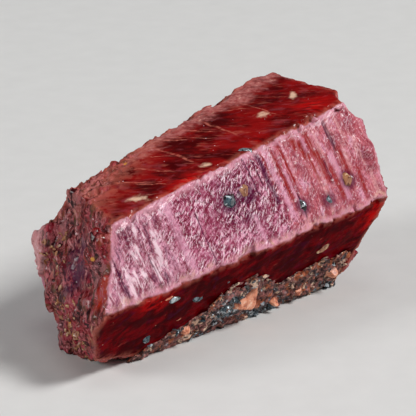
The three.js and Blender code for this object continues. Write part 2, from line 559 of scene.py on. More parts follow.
class CrystalFrame:
    """Where the crystal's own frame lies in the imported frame."""

    def __init__(self, shape: PrismShape, node: str) -> None:
        """Fits the prism's corners into a CAD node's box.

        Args:
            shape: the prism.
            node: the CAD node that the prism fills.
        """
        self.shape = shape
        self.low, self.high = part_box(node)
        corners = shape.corners()
        middle = (corners.min(0) + corners.max(0)) / 2
        base = shape.distances[Face.BASE] * math.cos(math.radians(shape.taper))
        centre = (self.low + self.high) / 2 / MM
        self.origin = Vector((centre.x - middle[0], centre.y - middle[1], self.low.z / MM + base))

    def axes(self) -> tuple[Triple, Triple, Triple]:
        """Returns the crystal's X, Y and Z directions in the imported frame."""
        tip = math.radians(self.shape.taper)
        return (math.cos(tip), 0.0, math.sin(tip)), (0.0, 1.0, 0.0), (-math.sin(tip), 0.0, math.cos(tip))

    def within(self, script: NodeScript, at: Field) -> Field:
        """Returns a position in metres as a place in the crystal's frame, in millimetres."""
        offset = at * (1 / MM) - tuple(self.origin)
        return script.vector(*(script.dot(offset, axis) for axis in self.axes()))

    def place(self, x: float, y: float, z: float) -> Vector:
        """Returns a place in the crystal's frame as a position in metres."""
        along, across, up = (Vector(axis) for axis in self.axes())
        return (self.origin + along * x + across * y + up * z) * MM

    def on_face(self, face: Face, x: float, across: float, proud: float = 0.0) -> Vector:
        """A position on a prism face, in metres.

        Args:
            face: the face.
            x: millimetres along the axis.
            across: millimetres across the face, from the point nearest the axis towards the next face
                anticlockwise as seen from -X.
            proud: millimetres off the face.

        Returns:
            The position.
        """
        y, z = face.outward
        out = self.shape.distances[face] + self.shape.lean * x + proud
        return self.place(x, out * y + across * z, out * z - across * y)

    def sideways(self, face: Face) -> Vector:
        """Returns the direction across a face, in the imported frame."""
        _, across, up = (Vector(axis) for axis in self.axes())
        y, z = face.outward
        return across * z - up * y

    def outward(self, face: Face) -> Vector:
        """Returns the direction that a face looks in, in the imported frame."""
        along, across, up = (Vector(axis) for axis in self.axes())
        y, z = face.outward
        return (across * y + up * z - along * self.shape.lean).normalized()


@dataclass(frozen=True)
class RindShape:
    """The wedge that the rind fills: how far it goes up the lower front face and under the base."""

    first: float = -16.8
    last: float = 11.8
    up: tuple[tuple[float, float], ...] = (
        (0.0, 0.3), (0.13, 1.9), (0.27, 3.0), (0.4, 5.6), (0.52, 5.4), (0.63, 3.6), (0.74, 4.0),
        (0.88, 4.4), (1.0, 2.4),
    )
    under: tuple[tuple[float, float], ...] = (
        (0.0, 0.3), (0.13, 1.1), (0.27, 1.7), (0.5, 2.4), (0.7, 2.4), (0.9, 1.8), (1.0, 0.9),
    )
    tallest: float = 8.0

    def width(self, script: NodeScript, x: Field, points: tuple[tuple[float, float], ...]) -> Field:
        """Returns a width at x from its curve, in millimetres."""
        share = (x - self.first) * (1 / (self.last - self.first))
        curve = script.node("ShaderNodeFloatCurve")
        line = curve.mapping.curves[0]
        while len(line.points) < len(points):
            line.points.new(0.5, 0.5)
        for point, (where, height) in zip(line.points, points):
            point.location = (where, height / self.tallest)
        curve.mapping.update()
        return script.call(curve, {"Factor": 1.0, "Value": share}) * self.tallest

    def inside(self, script: NodeScript, growth: Field, prism: PrismShape) -> Field:
        """How far a point lies inside the wedge.

        Args:
            script: the tree.
            growth: the point in the crystal's frame.
            prism: the prism whose edge the wedge replaces.

        Returns:
            Millimetres, above zero inside.
        """
        x, y, z = script.split(growth)
        middle = prism.ridge(Face.LOWER_FRONT, Face.BASE, 0.0)
        further = prism.ridge(Face.LOWER_FRONT, Face.BASE, 1.0)
        edge_y = x * float(further[0] - middle[0]) + float(middle[0])
        edge_z = x * float(further[1] - middle[1]) + float(middle[1])
        ragged = (script.noise(growth, 1.6, seed=4.0) - 0.5) * 1.6
        up = script.highest(self.width(script, x, self.up) + ragged, 0.2)
        under = script.highest(self.width(script, x, self.under), 0.2)
        rise = (z - edge_z) * (1 / math.sin(CORNER))
        reach = (y - edge_y) + rise * math.cos(CORNER)
        filled = 1.0 - rise / up - reach / under
        ends = script.lowest(x - self.first, self.last - x)
        return script.lowest(filled * 1.3, ends)


# ---------------------------------------------------------------- the ruby


@dataclass(frozen=True)
class Seam:
    """A basal parting that shows as a groove and a coloured band up an etched face, in millimetres."""

    at: float
    half: float
    low: float
    high: float
    depth: float = 0.0


@dataclass(frozen=True)
class Lump:
    """An ellipsoid added to the crystal, or cut from it, in its own frame in millimetres."""

    centre: Triple
    size: Triple
    cut: bool = False


PLUM_SEAMS = (
    Seam(-20.3, 0.1, -4.2, 3.0, 0.12), Seam(-16.3, 0.1, -5.0, -0.6, 0.1), Seam(-1.45, 0.09, 0.0, 4.4, 0.12),
    Seam(-0.55, 0.08, 0.6, 4.4, 0.1), Seam(0.35, 0.4, -1.8, 4.3, 0.1), Seam(9.75, 0.24, 0.4, 4.6, 0.14),
    Seam(2.9, 0.14, -4.2, -1.6, 0.1), Seam(7.6, 0.3, -2.2, 0.2, 0.1), Seam(-9.4, 0.08, -4.8, 1.0, 0.05),
)
# Ember seams: partings whose orange-red band is painted glow of light through thin laminae.
EMBER_SEAMS = (
    Seam(5.15, 0.32, 2.2, 4.9, 0.16), Seam(5.75, 0.28, 1.0, 3.0, 0.14), Seam(6.9, 0.36, 0.8, 3.9, 0.12),
    Seam(7.35, 0.42, -2.0, 1.5, 0.14), Seam(8.2, 0.3, -4.0, -0.6, 0.1), Seam(2.15, 0.16, -2.0, 4.2, 0.08),
    Seam(10.1, 0.36, -2.4, 1.0, 0.1), Seam(11.3, 0.18, -4.6, -1.5, 0.08), Seam(6.2, 0.18, -1.6, 1.6, 0.08),
    Seam(3.3, 0.14, -0.6, 3.8, 0.08), Seam(0.95, 0.12, 0.8, 4.4, 0.08),
)
PALE_SEAMS = (
    Seam(1.35, 0.34, -3.4, 4.2, -0.06), Seam(2.6, 0.2, -4.2, 1.2, -0.04), Seam(-12.2, 0.5, -4.8, 3.6, -0.04),
    Seam(6.15, 0.2, 1.8, 4.4, -0.08), Seam(8.9, 0.4, -4.4, 0.8, -0.06), Seam(-3.0, 0.26, -5.0, -1.6, -0.03),
)


@dataclass(frozen=True)
class RubyCrystal:
    """The crystal: a tapered prism with etched faces, bruised ridges and broken ends."""

    place: CrystalFrame
    rind: RindShape
    voxel: float = 0.195
    quick_voxel: float = 0.24
    margin: float = 1.2
    proud: float = 0.12  # how far the faces stand off the prism's planes
    lumps: tuple[Lump, ...] = (
        Lump((-16.1, 6.2, 0.6), (1.8, 1.7, 2.6)),
        Lump((-18.2, 3.2, -3.2), (1.2, 1.5, 1.7)),
        Lump((-18.5, 1.9, -7.2), (1.2, 1.5, 1.7)),
        Lump((-19.8, -4.7, 3.6), (1.2, 1.7, 2.6)),
        Lump((13.4, -8.0, 3.2), (1.5, 2.6, 2.8)),
        Lump((13.9, 0.8, 7.4), (1.9, 3.0, 1.6)),
        Lump((13.3, -3.8, -3.0), (1.5, 3.4, 2.8)),
        Lump((7.3, 5.9, 9.4), (1.4, 2.0, 1.4), True),
        Lump((14.8, 7.2, 9.8), (2.2, 1.9, 1.9), True),
        Lump((15.6, -6.9, 9.4), (2.3, 2.6, 2.6), True),
    )

    def face_fields(self, tree: GrowthTree, growth: Field) -> dict[Face, Field]:
        """Returns how far outside each rippled prism face a point lies, in millimetres."""
        x, y, z = tree.split(growth)
        shape = self.place.shape
        upright = math.cos(math.radians(shape.taper))
        fields = {}
        for number, face in enumerate(Face):
            ripple = tree.noise(growth, (1.7, 5.0, 5.0), seed=60.0 + number, detail=2.0) - 0.5
            ripple = ripple * tree.given("Ripple")
            level = y * face.outward[0] + z * face.outward[1] - x * shape.lean - shape.distances[face]
            fields[face] = level * upright + (ripple if face is not Face.BASE else 0.0)
        return fields

    def end_fields(self, tree: NodeScript, growth: Field) -> tuple[Field, Field]:
        """Returns how far outside the narrow and the broad end a point lies."""
        x, y, z = tree.split(growth)
        shape = self.place.shape
        narrow = tree.highest(*(-plane.beyond(x, y, z) for plane in shape.narrow))
        broad = tree.highest(*(plane.beyond(x, y, z) for plane in shape.broad))
        return narrow, broad

    def two_highest(self, tree: NodeScript, values: list[Field]) -> tuple[Field, Field]:
        """Returns the highest and the second highest of several values."""
        first, second = values[0], tree.fixed(FAR_INSIDE)
        for value in values[1:]:
            second = tree.highest(second, tree.lowest(first, value))
            first = tree.highest(first, value)
        return first, second

    def with_lumps(self, tree: NodeScript, growth: Field, outside: Field) -> Field:
        """Returns the outside distance with the lumps added and the hollows cut."""
        waver = (tree.noise(growth, 1.5, seed=5.0, detail=2.0) - 0.5) * 0.8
        for lump in self.lumps:
            distance = (tree.away(growth, lump.centre, lump.size) - 1.0) * min(lump.size) + waver
            if lump.cut:
                outside = tree.rounded_max(outside, -distance, 0.3)
            else:
                outside = tree.math("SMOOTH_MIN", outside, distance, 0.5)
        return outside

    def body(self, tree: GrowthTree, growth: Field) -> Field:
        """The space that the crystal fills.

        Args:
            tree: the tree.
            growth: the point in the crystal's frame.

        Returns:
            Millimetres inside the surface.
        """
        faces = self.face_fields(tree, growth)
        narrow, broad = self.end_fields(tree, growth)
        swell = (tree.noise(growth, 7.0, seed=1.0, detail=1.0) - 0.5) * tree.given("Swell")
        sides = list(faces.values())
        first, second = self.two_highest(tree, sides)
        nearest_ridge = tree.ramp(first - second, 1.0, 0.0)
        chips = tree.ramp(tree.noise(growth, 1.8, seed=2.0, detail=3.0), 0.48, 0.64)
        nicks = tree.ramp(tree.noise(growth, 0.8, seed=2.5, detail=2.0), 0.5, 0.7)
        bruise = nearest_ridge * (chips * tree.given("Chips") + nicks * tree.given("Nicks") + 0.04)
        side = sides[0]
        for other in sides[1:]:
            side = tree.rounded_max(side, other, 0.14)
        side = side + swell + bruise - self.proud
        lumps = tree.cells(growth, 1.9, seed=3.0)
        coarse = tree.noise(growth, 3.6, seed=3.5, detail=3.0, roughness=0.6) - 0.5
        rough = tree.given("End roughness")
        narrow = narrow + (lumps * 0.9 + coarse * 2.2 - 0.3) * rough
        terraces = tree.math("SNAP", tree.noise(growth, (9.0, 6.5, 6.5), seed=6.0, detail=2.0), 0.09)
        plates = tree.facets(growth, PLATES, 70.0) * 0.3 + tree.facets(growth, SMALL_PLATES, 71.0) * 0.2
        _, _, up = tree.split(growth)
        calm_top = tree.mix(tree.ramp(up, 9.2, 6.4), 0.2, 1.0)
        broad = broad + (terraces * 3.4 - 1.7 + plates + coarse * 0.5) * rough * calm_top
        outside = tree.rounded_max(side, narrow, 0.4)
        outside = tree.rounded_max(outside, broad, 0.4)
        outside = self.with_lumps(tree, growth, outside)
        outside = tree.highest(outside, self.rind.inside(tree, growth, self.place.shape))
        return -outside

    def seams(self, tree: NodeScript, growth: Field) -> Field:
        """Returns how deep the partings are cut at a point of an etched face, in millimetres."""
        x, _, _ = tree.split(growth)
        up = tree.dot(growth, ETCHED_UP)
        warped = x + (tree.noise(growth, (3.0, 1.6, 1.6), seed=8.0) - 0.5) * 0.4
        total = tree.fixed(0.0)
        for seam in (*PLUM_SEAMS, *EMBER_SEAMS, *PALE_SEAMS):
            total = total + seam_share(tree, seam, warped, up) * seam.depth
        return total

    def relief(self, tree: GrowthTree, growth: Field, on: dict[str, Field]) -> Field:
        """The etching of the faces and the roughness of the breaks.

        Args:
            tree: the tree.
            growth: the point in the crystal's frame.
            on: how much the point lies on each face.

        Returns:
            Millimetres outwards.
        """
        slant = tree.laid(growth, SLANT, ETCHED_NORMAL)
        etch = tree.noise(slant, (1.3, 0.36, 0.8), seed=10.0, detail=2.0) - 0.5
        pits = tree.ramp(tree.cells(growth, 1.3, seed=11.0), 0.35, 0.1)
        laminae = tree.noise(growth, (0.6, 14.0, 14.0), seed=12.0, detail=1.0) - 0.5
        feathers = tree.noise(tree.laid(growth, FEATHER, UPWARDS), (3.5, 0.6, 1.0), seed=13.0) - 0.5
        upright = tree.turned(growth, UPRIGHT, ACROSS_BREAK)
        ribs = tree.noise(upright, (3.2, 1.0, 1.0), seed=16.0, detail=2.0) - 0.5
        fine = tree.noise(growth, 0.6, seed=15.0, detail=3.0) - 0.5
        chunks = tree.facets(growth, (1.5, 1.2, 2.4), 17.0) + tree.facets(growth, (0.7, 0.6, 1.1), 18.0) * 0.7
        etched = on["front"] + on["back"]
        glassy = on["top"] + on["lower"]
        broken = on["narrow"] + on["broad"] * 0.25
        out = etched * (etch * 0.17 + laminae * 0.08 - self.seams(tree, growth) * tree.given("Parting depth"))
        out = out + glassy * (feathers * 0.1 + laminae * 0.05) - on["back"] * pits * 0.12
        return out * tree.given("Etch depth") - broken * (chunks * 0.26 + fine * 0.16 + ribs * 0.5)

    def grow(self, material: bpy.types.Material) -> bpy.types.Object:
        """Builds the crystal.

        Args:
            material: its finish.

        Returns:
            The object, riding on the frame.
        """
        inputs = {"Swell": 0.25, "Ripple": 0.5, "Chips": 0.6, "Nicks": 0.22, "End roughness": 0.55,
                  "Parting depth": 1.0, "Etch depth": 1.0}
        tree = GrowthTree("ruby_growth", inputs)
        growth = self.place.within(tree, tree.position())
        edge = Vector((self.margin,) * 3) * MM
        voxel = self.voxel * MM
        mesh = tree.solid(self.body(tree, growth), self.place.low - edge, self.place.high + edge, voxel,
                          self.place.low.z)
        faces = self.face_fields(tree, growth)
        narrow, broad = self.end_fields(tree, growth)
        every = [*faces.values(), narrow + self.proud, broad + self.proud]
        first, second = self.two_highest(tree, every)
        share = {key: tree.ramp(value - first, -0.16, 0.0) for key, value in
                 zip([*Face, "narrow", "broad"], every)}
        near_ridge = tree.ramp(first - second, 0.8, 0.0)
        mesh = tree.stored(mesh, GROWTH, growth)
        for name, keys in ((FRONTS, (Face.TOP, Face.FRONT, Face.LOWER_FRONT)),
                           (REARS, (Face.BASE, Face.LOWER_BACK, Face.UPPER_BACK))):
            mesh = tree.stored(mesh, name, tree.vector(*(share[key] for key in keys)))
        mesh = tree.stored(mesh, BREAKS, tree.vector(share["narrow"], share["broad"], near_ridge))
        on = {"top": share[Face.TOP], "front": share[Face.FRONT], "lower": share[Face.LOWER_FRONT],
              "back": share[Face.LOWER_BACK] + share[Face.UPPER_BACK],
              "narrow": share["narrow"], "broad": share["broad"]}
        out = self.relief(tree, growth, on) * MM
        mesh = tree.shifted(mesh, tree.normal() * out)
        piece = tree.grown("ruby_crystal_rough", mesh, material)
        rest_on_floor(piece, self.place.low.z)
        keep_largest(piece)
        lay_out_bake_map(piece)
        dress(piece, "ruby_crystal")
        return piece


@dataclass(frozen=True)
class HealedCrack:
    """A pale line across a glassy face, where a crack has healed.

    Attributes:
        start: where it begins, along the axis and across, in millimetres.
        end: where it ends.
        half: half its width, in millimetres.
    """

    start: tuple[float, float]
    end: tuple[float, float]
    half: float = 0.07

    def share(self, script: NodeScript, x: Field, y: Field) -> Field:
        """Returns how much a point lies on the line, from 0 to 1."""
        run, rise = self.end[0] - self.start[0], self.end[1] - self.start[1]
        size = math.hypot(run, rise)
        along = (x * run + y * rise - (self.start[0] * run + self.start[1] * rise)) * (1.0 / size)
        off = (y * run - x * rise - (self.start[1] * run - self.start[0] * rise)) * (1.0 / size)
        ends = script.ramp(along, 0.0, size * 0.2) * script.ramp(along, size, size * 0.7)
        return script.ramp(script.math("ABSOLUTE", off), self.half * 2.2, self.half * 0.4) * ends


HEALED_CRACKS = (
    HealedCrack((2.7, 5.2), (1.8, -3.4), 0.09), HealedCrack((-1.7, 5.8), (2.5, -1.7)),
    HealedCrack((-4.5, 3.4), (-4.8, -3.6), 0.11), HealedCrack((-4.1, 5.2), (-0.9, 0.2)),
    HealedCrack((-2.9, 4.6), (0.6, -1.4), 0.05), HealedCrack((-6.8, 3.0), (-4.2, -1.6), 0.05),
    HealedCrack((-9.6, 2.2), (-7.0, -2.9), 0.09), HealedCrack((4.6, 4.4), (7.4, -0.2), 0.05),
    HealedCrack((7.9, 3.4), (7.3, -3.8), 0.06), HealedCrack((-11.6, -0.4), (-9.4, -4.4), 0.06),
    HealedCrack((-12.4, 1.6), (-10.1, -2.2), 0.1), HealedCrack((9.2, 2.6), (12.4, -3.0), 0.05),
)


def seam_share(script: NodeScript, seam: Seam, x: Field, up: Field) -> Field:
    """How much a point lies in a seam.

    Args:
        script: the tree.
        seam: the seam.
        x: the point's place along the axis.
        up: its place up the etched face.

    Returns:
        From 0 to 1.
    """
    fade = 0.3
    off = script.math("ABSOLUTE", x - seam.at)
    along = script.ramp(up, seam.low - fade, seam.low + fade)
    along = along * script.ramp(up, seam.high + fade, seam.high - fade)
    return script.ramp(off, seam.half * 1.3, seam.half * 0.5) * along


def dress(piece: bpy.types.Object, stands_for: str) -> None:
    """Attaches a piece to the root body and hides the CAD node that it stands for.

    Args:
        piece: the piece.
        stands_for: the CAD node that it is shown in place of.
    """
    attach(piece, ROOT)
    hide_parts(stands_for)
    LOG.info("%s: %d faces", piece.name, len(piece.data.polygons))


def read_vectors(mesh: bpy.types.Mesh, name: str) -> np.ndarray:
    """Returns a mesh's stored point vectors as an array."""
    values = np.empty(len(mesh.vertices) * 3, np.float32)
    mesh.attributes[name].data.foreach_get("vector", values)
    return values.reshape(-1, 3)


def keep_largest(piece: bpy.types.Object) -> None:
    """Drops the crumbs and the collapsed faces of a grown mesh, so that one closed body is left.

    Args:
        piece: the piece.
    """
    work = bmesh.new()
    work.from_mesh(piece.data)
    unseen, largest = set(work.verts), set()
    while unseen:
        front = [unseen.pop()]
        body = set(front)
        while front:
            for edge in front.pop().link_edges:
                for vertex in edge.verts:
                    if vertex in unseen:
                        unseen.discard(vertex)
                        body.add(vertex)
                        front.append(vertex)
        largest = max(largest, body, key=len)
    crumbs = [vertex for vertex in work.verts if vertex not in largest]
    bmesh.ops.delete(work, geom=crumbs, context="VERTS")
    bmesh.ops.dissolve_degenerate(work, dist=COLLAPSED, edges=work.edges[:])
    work.to_mesh(piece.data)
    work.free()


def rest_on_floor(piece: bpy.types.Object, floor: float) -> None:
    """Lifts every point of a piece that lies under the floor on to it.

    Args:
        piece: the piece.
        floor: the floor's height in metres.
    """
    places = np.empty(len(piece.data.vertices) * 3, np.float32)
    piece.data.vertices.foreach_get("co", places)
    points = places.reshape(-1, 3)
    points[:, 2] = np.maximum(points[:, 2], floor)
    piece.data.vertices.foreach_set("co", points.ravel())
    piece.data.update()


def lay_out_bake_map(piece: bpy.types.Object) -> None:
    """Gives the crystal a map with one island for each face and end, laid flat at one scale.

    Args:
        piece: the crystal, with its stored shares and places.
    """
    mesh = piece.data
    sheet, side_gap, end_gap = 88.0, 14.4, 24.0  # millimetres: the map's side, a face's strip, an end's
    left, ends_left = 26.5, 57.0  # millimetres from the axis' zero to the left edge, for faces and for ends
    corners = np.empty(len(mesh.loops), np.int32)
    mesh.loops.foreach_get("vertex_index", corners)
    starts = np.empty(len(mesh.polygons), np.int32)
    mesh.polygons.foreach_get("loop_start", starts)
    growth = read_vectors(mesh, GROWTH)
    shares = np.hstack([read_vectors(mesh, name) for name in (FRONTS, REARS, BREAKS)])[:, :len(Face) + 2]
    totals = np.add.reduceat(shares[corners], starts, axis=0)
    counts = np.diff(np.append(starts, len(corners)))
    island = np.repeat(totals.argmax(1), counts)
    x, y, z = growth[corners].T
    u, v = np.zeros(len(corners)), np.zeros(len(corners))
    for number, face in enumerate(Face):
        here = island == number
        out_y, out_z = face.outward
        u[here] = (x[here] + left) / sheet
        v[here] = ((z * out_y - y * out_z)[here] + side_gap * (number + 0.5)) / sheet
    for number in range(shares.shape[1] - len(Face)):
        here = island == len(Face) + number
        u[here] = (y[here] + ends_left) / sheet
        v[here] = (z[here] + end_gap * (number + 0.5)) / sheet
    layer = mesh.uv_layers.new(name=BAKE_MAP)
    layer.data.foreach_set("uv", np.column_stack([u, v]).ravel().astype(np.float32))


# ---------------------------------------------------------------- finishes


def display(red: int, green: int, blue: int) -> Colour:
    """Returns a colour, given as it looks on a display, as a linear one."""
    return tuple(v / 12.92 if v <= 0.04045 else ((v + 0.055) / 1.055) ** 2.4
                 for v in (red / 255, green / 255, blue / 255))


def finish_tree(name: str) -> tuple[bpy.types.Material, NodeScript, bpy.types.Node]:
    """Starts a material with one Principled shader.

    Args:
        name: the material's name.

    Returns:
        The material, its script and the shader.
    """
    material = bpy.data.materials.new(name)
    material.use_nodes = True
    material.node_tree.nodes.clear()
    script = NodeScript(material.node_tree)
    shader = script.node("ShaderNodeBsdfPrincipled")
    output = script.node("ShaderNodeOutputMaterial")
    material.node_tree.links.new(shader.outputs[0], output.inputs[0])
    return material, script, shader


def add_bump(script: NodeScript, shader: bpy.types.Node, height: Field, depth: float,
             strength: float) -> None:
    """Gives a shader a bump.

    Args:
        script: the material's tree.
        shader: the shader.
        height: from 0 to 1.
        depth: how deep 1 is, in millimetres.
        strength: the share of it that shows.
    """
    bump = script.call(script.node("ShaderNodeBump"),
                       {"Height": height, "Strength": strength, "Distance": depth * MM})
    script.feed(shader.inputs["Normal"], bump)


# Cream patches in the top face, centre and half sizes: two feathers, a painted glint at x 6.5 and a white
# spot at x 11.9
CREAM_SPOTS = (
    ((-4.7, -4.2, 7.7), (0.8, 0.6, 2.0)), ((-13.4, -3.5, 7.0), (1.1, 0.7, 2.0)),
    ((6.5, -1.6, 8.6), (0.7, 0.8, 2.0)), ((11.9, -1.0, 9.1), (0.42, 1.0, 2.0)),
)


@dataclass(frozen=True)
class RubyFinish:
    """Corundum: glassy dark red faces, a silky pink etched face, granular breaks and bruised ridges."""

    ior: float = 1.77
    deep: Colour = display(70, 0, 2)
    wine: Colour = display(138, 10, 10)
    glow: Colour = display(200, 10, 8)
    magenta: Colour = display(160, 5, 45)
    salmon: Colour = display(196, 104, 88)
    mauve: Colour = display(150, 62, 70)
    cream: Colour = display(240, 196, 168)
    bruise: Colour = display(186, 110, 106)
    white: Colour = display(248, 216, 226)
    lavender: Colour = display(194, 122, 142)
    silk: Colour = display(224, 160, 184)
    rose: Colour = display(176, 84, 114)
    cherry: Colour = display(112, 20, 46)
    plum: Colour = display(76, 16, 52)
    coral: Colour = display(196, 98, 108)
    ember: Colour = display(150, 30, 24)
    deep_lower: Colour = display(62, 0, 5)
    wine_lower: Colour = display(118, 2, 10)
    rust: Colour = display(190, 52, 26)
    umber: Colour = display(88, 26, 30)
    clay: Colour = display(170, 86, 88)
    straw: Colour = display(206, 164, 122)
    violet: Colour = display(100, 44, 74)
    orchid: Colour = display(190, 122, 130)
    shadow: Colour = display(48, 10, 16)
    gold: Colour = display(226, 160, 70)
    olive: Colour = display(128, 92, 58)
    blush: Colour = display(222, 158, 160)

    def glassy(self, s: NodeScript, q: Field) -> Field:
        """Returns the colour of the top and the base: dark red with feathers along the partings, painted glow
        near the front ridge and painted glints.
        """
        x, y, _ = s.split(q)
        feather = s.laid(q, FEATHER, UPWARDS)
        wide = s.noise(feather, (3.4, 2.8, 3.0), seed=20.0, detail=2.0)
        drift = s.noise(feather, (1.5, 0.9, 2.0), seed=21.0, detail=4.0, roughness=0.6, distortion=0.8)
        body = s.wash(self.deep, self.wine, wide * 0.65 + drift * 0.35, 0.37, 0.62)
        # Mauve clouds, stronger towards the narrow end: partly the face's own haze, partly painted soft
        # reflection.
        cloud = s.noise(feather, (1.9, 1.1, 2.0), seed=30.0, detail=4.0, distortion=1.0)
        left = s.ramp(x, -8.0, -12.5) * 0.08
        body = s.wash(body, self.mauve, cloud + left, 0.52, 0.76, 0.5)
        # Painted glow: bright red patches along the front ridge and a magenta one beside them, where light
        # shines through the crystal.
        glow_patches = s.blob(q, (-8.0, -5.2, 7.6), (4.6, 1.7, 3.0), 0.9)
        glow_patches = s.highest(glow_patches, s.blob(q, (11.0, -4.4, 9.0), (3.4, 2.2, 3.0), 0.9) * 0.8)
        glow_patches = s.highest(glow_patches, s.blob(q, (2.0, -4.6, 9.0), (2.6, 1.2, 3.0), 0.9) * 0.5)
        flicker = s.ramp(s.noise(feather, (1.8, 0.5, 1.0), seed=26.0, detail=2.0), 0.34, 0.6)
        body = s.tint(glow_patches * flicker * 0.9, body, self.glow)
        body = s.tint(s.blob(q, (-6.2, -5.7, 7.6), (1.8, 0.8, 2.0), 0.9) * 0.8, body, self.magenta)
        strands = s.noise(feather, (2.4, 0.42, 0.8), seed=22.0, detail=4.0, roughness=0.6, distortion=0.6)
        patches = s.ramp(s.noise(feather, (2.6, 2.0, 2.0), seed=23.0) + left * 1.6, 0.5, 0.66)
        body = s.wash(body, self.salmon, strands, 0.54, 0.78, patches, 0.55)
        body = s.wash(body, self.cream, strands, 0.68, 0.82, patches, 0.6)
        bent = (s.noise(q, 1.6, seed=24.0, detail=3.0) - 0.5) * 0.7
        broken_up = s.mix(s.ramp(s.noise(q, 0.7, seed=25.0, detail=2.0), 0.4, 0.58), 0.25, 1.0)
        for crack in HEALED_CRACKS:
            body = s.tint(crack.share(s, x + bent, y + bent) * broken_up * 0.75, body, self.salmon)
        across = s.laid(q, (0.49, -0.87, 0.0), UPWARDS)
        lines = s.contour(s.noise(across, (9.0, 0.7, 4.0), seed=24.5), 0.05)
        lines = lines * s.ramp(s.noise(feather, (1.8, 1.2, 2.0), seed=25.5, detail=2.0), 0.54, 0.66)
        body = s.tint(lines * 0.3, body, self.salmon)
        # Cream patches; the one at x 6.5 is a painted glint.
        for centre, size in CREAM_SPOTS:
            edge = (s.noise(q, 0.7, seed=27.0, detail=4.0) - 0.5) * 2.2
            near = s.length(s.laid(q - centre, FEATHER, UPWARDS) / size) + edge
            body = s.wash(body, self.cream, near, 1.2, 0.1, 0.85)
        patchy = s.noise(q, 1.2, seed=28.0, detail=2.0)
        front_edge = s.ramp(y + x * 0.044, -5.0, -5.9) * s.ramp(patchy, 0.42, 0.6)
        body = s.tint(front_edge * 0.6, body, self.salmon)
        grain = s.noise(q, 0.5, seed=29.0, detail=3.0)
        back_edge = s.ramp(y - x * 0.044 + (cloud - 0.5) * 3.4, 1.8, 3.8)
        back_edge = s.highest(back_edge, s.blob(q, (8.4, 3.6, 8.7), (2.6, 2.4, 2.4), 0.6))
        body = s.tint(back_edge * s.mix(s.ramp(grain, 0.34, 0.6), 0.35, 0.9), body, self.bruise)
        body = s.wash(body, self.cream, grain, 0.6, 0.74, back_edge, 0.5)
        # Painted glints: small white specks.
        glint_specks = s.cells(q, 1.0, seed=29.5) + s.noise(q, 2.0, seed=29.6) * 0.3
        return s.wash(body, self.white, glint_specks, 0.2, 0.13, 0.8)

    def strokes(self, s: NodeScript, q: Field, along: Triple, size: Triple, seed: float) -> Field:
        """Returns the noise of one set of etch strokes, from 0 to 1."""
        return s.noise(s.laid(q, along, ETCHED_NORMAL), size, seed=seed, detail=2.0, roughness=0.55)

    def etched(self, s: NodeScript, q: Field) -> Field:
        """Returns the colour of the etched faces: pink silk over rose, with plum and ember partings, painted
        sheen and shade on the strokes, painted glow in the ember partings and a painted highlight at the top
        ridge.
        """
        x, _, _ = s.split(q)
        up = s.dot(q, ETCHED_UP)
        drift = s.noise(q, 3.0, seed=31.0, detail=2.0)
        patch = s.noise(q, (1.1, 1.9, 1.9), seed=32.0, detail=3.0)
        body = s.wash(self.lavender, self.rose, x + drift * 6.0, -11.0, -8.4)
        body = s.wash(body, self.coral, x + drift * 3.0, 1.4, 3.0)
        body = s.wash(body, self.cherry, patch, 0.56, 0.36, s.mix(s.ramp(x, 1.0, 3.4), 0.8, 0.5))
        body = s.wash(body, self.silk, patch, 0.52, 0.7, 0.75)
        plum = s.blob(q, (-4.2, -7.8, 4.6), (4.4, 4.4, 4.6), 0.75) * s.ramp(drift, 0.2, 0.5)
        body = s.tint(plum * 0.85, body, self.plum)
        slanted = self.strokes(s, q, SLANT, (0.9, 0.16, 0.4), 33.0)
        steep = self.strokes(s, q, STEEP, (0.7, 0.14, 0.4), 34.0)
        counter = self.strokes(s, q, COUNTER, (0.8, 0.14, 0.4), 35.0)
        calm = s.mix(s.ramp(x, 1.0, 3.4), 1.0, 0.42)
        calm = s.mix(s.ramp(x, -12.0, -15.0), calm, 0.6)
        calm = calm * s.mix(s.ramp(s.noise(q, 1.4, seed=39.0, detail=2.0), 0.36, 0.6), 0.35, 1.0)
        # The strokes are painted pale on their crests and dark between them: partly the face's own streaks,
        # partly painted sheen and shade of the etched relief.
        body = s.wash(body, self.cherry, slanted, 0.5, 0.4, calm, 0.9)
        body = s.wash(body, self.plum, counter, 0.45, 0.35, calm, 0.8)
        body = s.wash(body, self.silk, slanted, 0.53, 0.63, calm, 0.9)
        body = s.wash(body, self.white, steep, 0.54, 0.64, calm)
        body = s.wash(body, self.silk, counter, 0.58, 0.68, calm, 0.8)
        right = s.ramp(x, 1.0, 3.0)
        bands = s.noise(q, (0.5, 6.0, 6.0), seed=41.0, detail=3.0, roughness=0.6)
        body = s.wash(body, self.blush, bands, 0.5, 0.64, right, 0.7)
        body = s.wash(body, self.mauve, bands, 0.47, 0.36, right, 0.7)
        # Fine white and cherry mottling of the face; the white is partly painted sheen.
        speckle = s.noise(q, 0.3, seed=40.0, detail=4.0, roughness=0.65)
        body = s.wash(body, self.white, speckle, 0.56, 0.7, 0.7)
        body = s.wash(body, self.cherry, speckle, 0.48, 0.34, s.mix(right, 0.8, 0.45))
        clouds = s.noise(q, (0.6, 2.4, 2.4), seed=36.0, detail=4.0, distortion=0.4, roughness=0.65)
        pale_end = s.ramp(x, -12.6, -15.0)
        body = s.wash(body, self.white, clouds, 0.51, 0.65, pale_end, 0.85)
        body = s.wash(body, self.plum, clouds, 0.49, 0.36, pale_end, 0.75)
        warped = x + (s.noise(q, (3.0, 1.6, 1.6), seed=8.0) - 0.5) * 0.4
        streaky = s.mix(s.ramp(s.noise(q, (0.12, 2.4, 2.4), seed=37.0, detail=2.0), 0.3, 0.6), 0.45, 1.0)
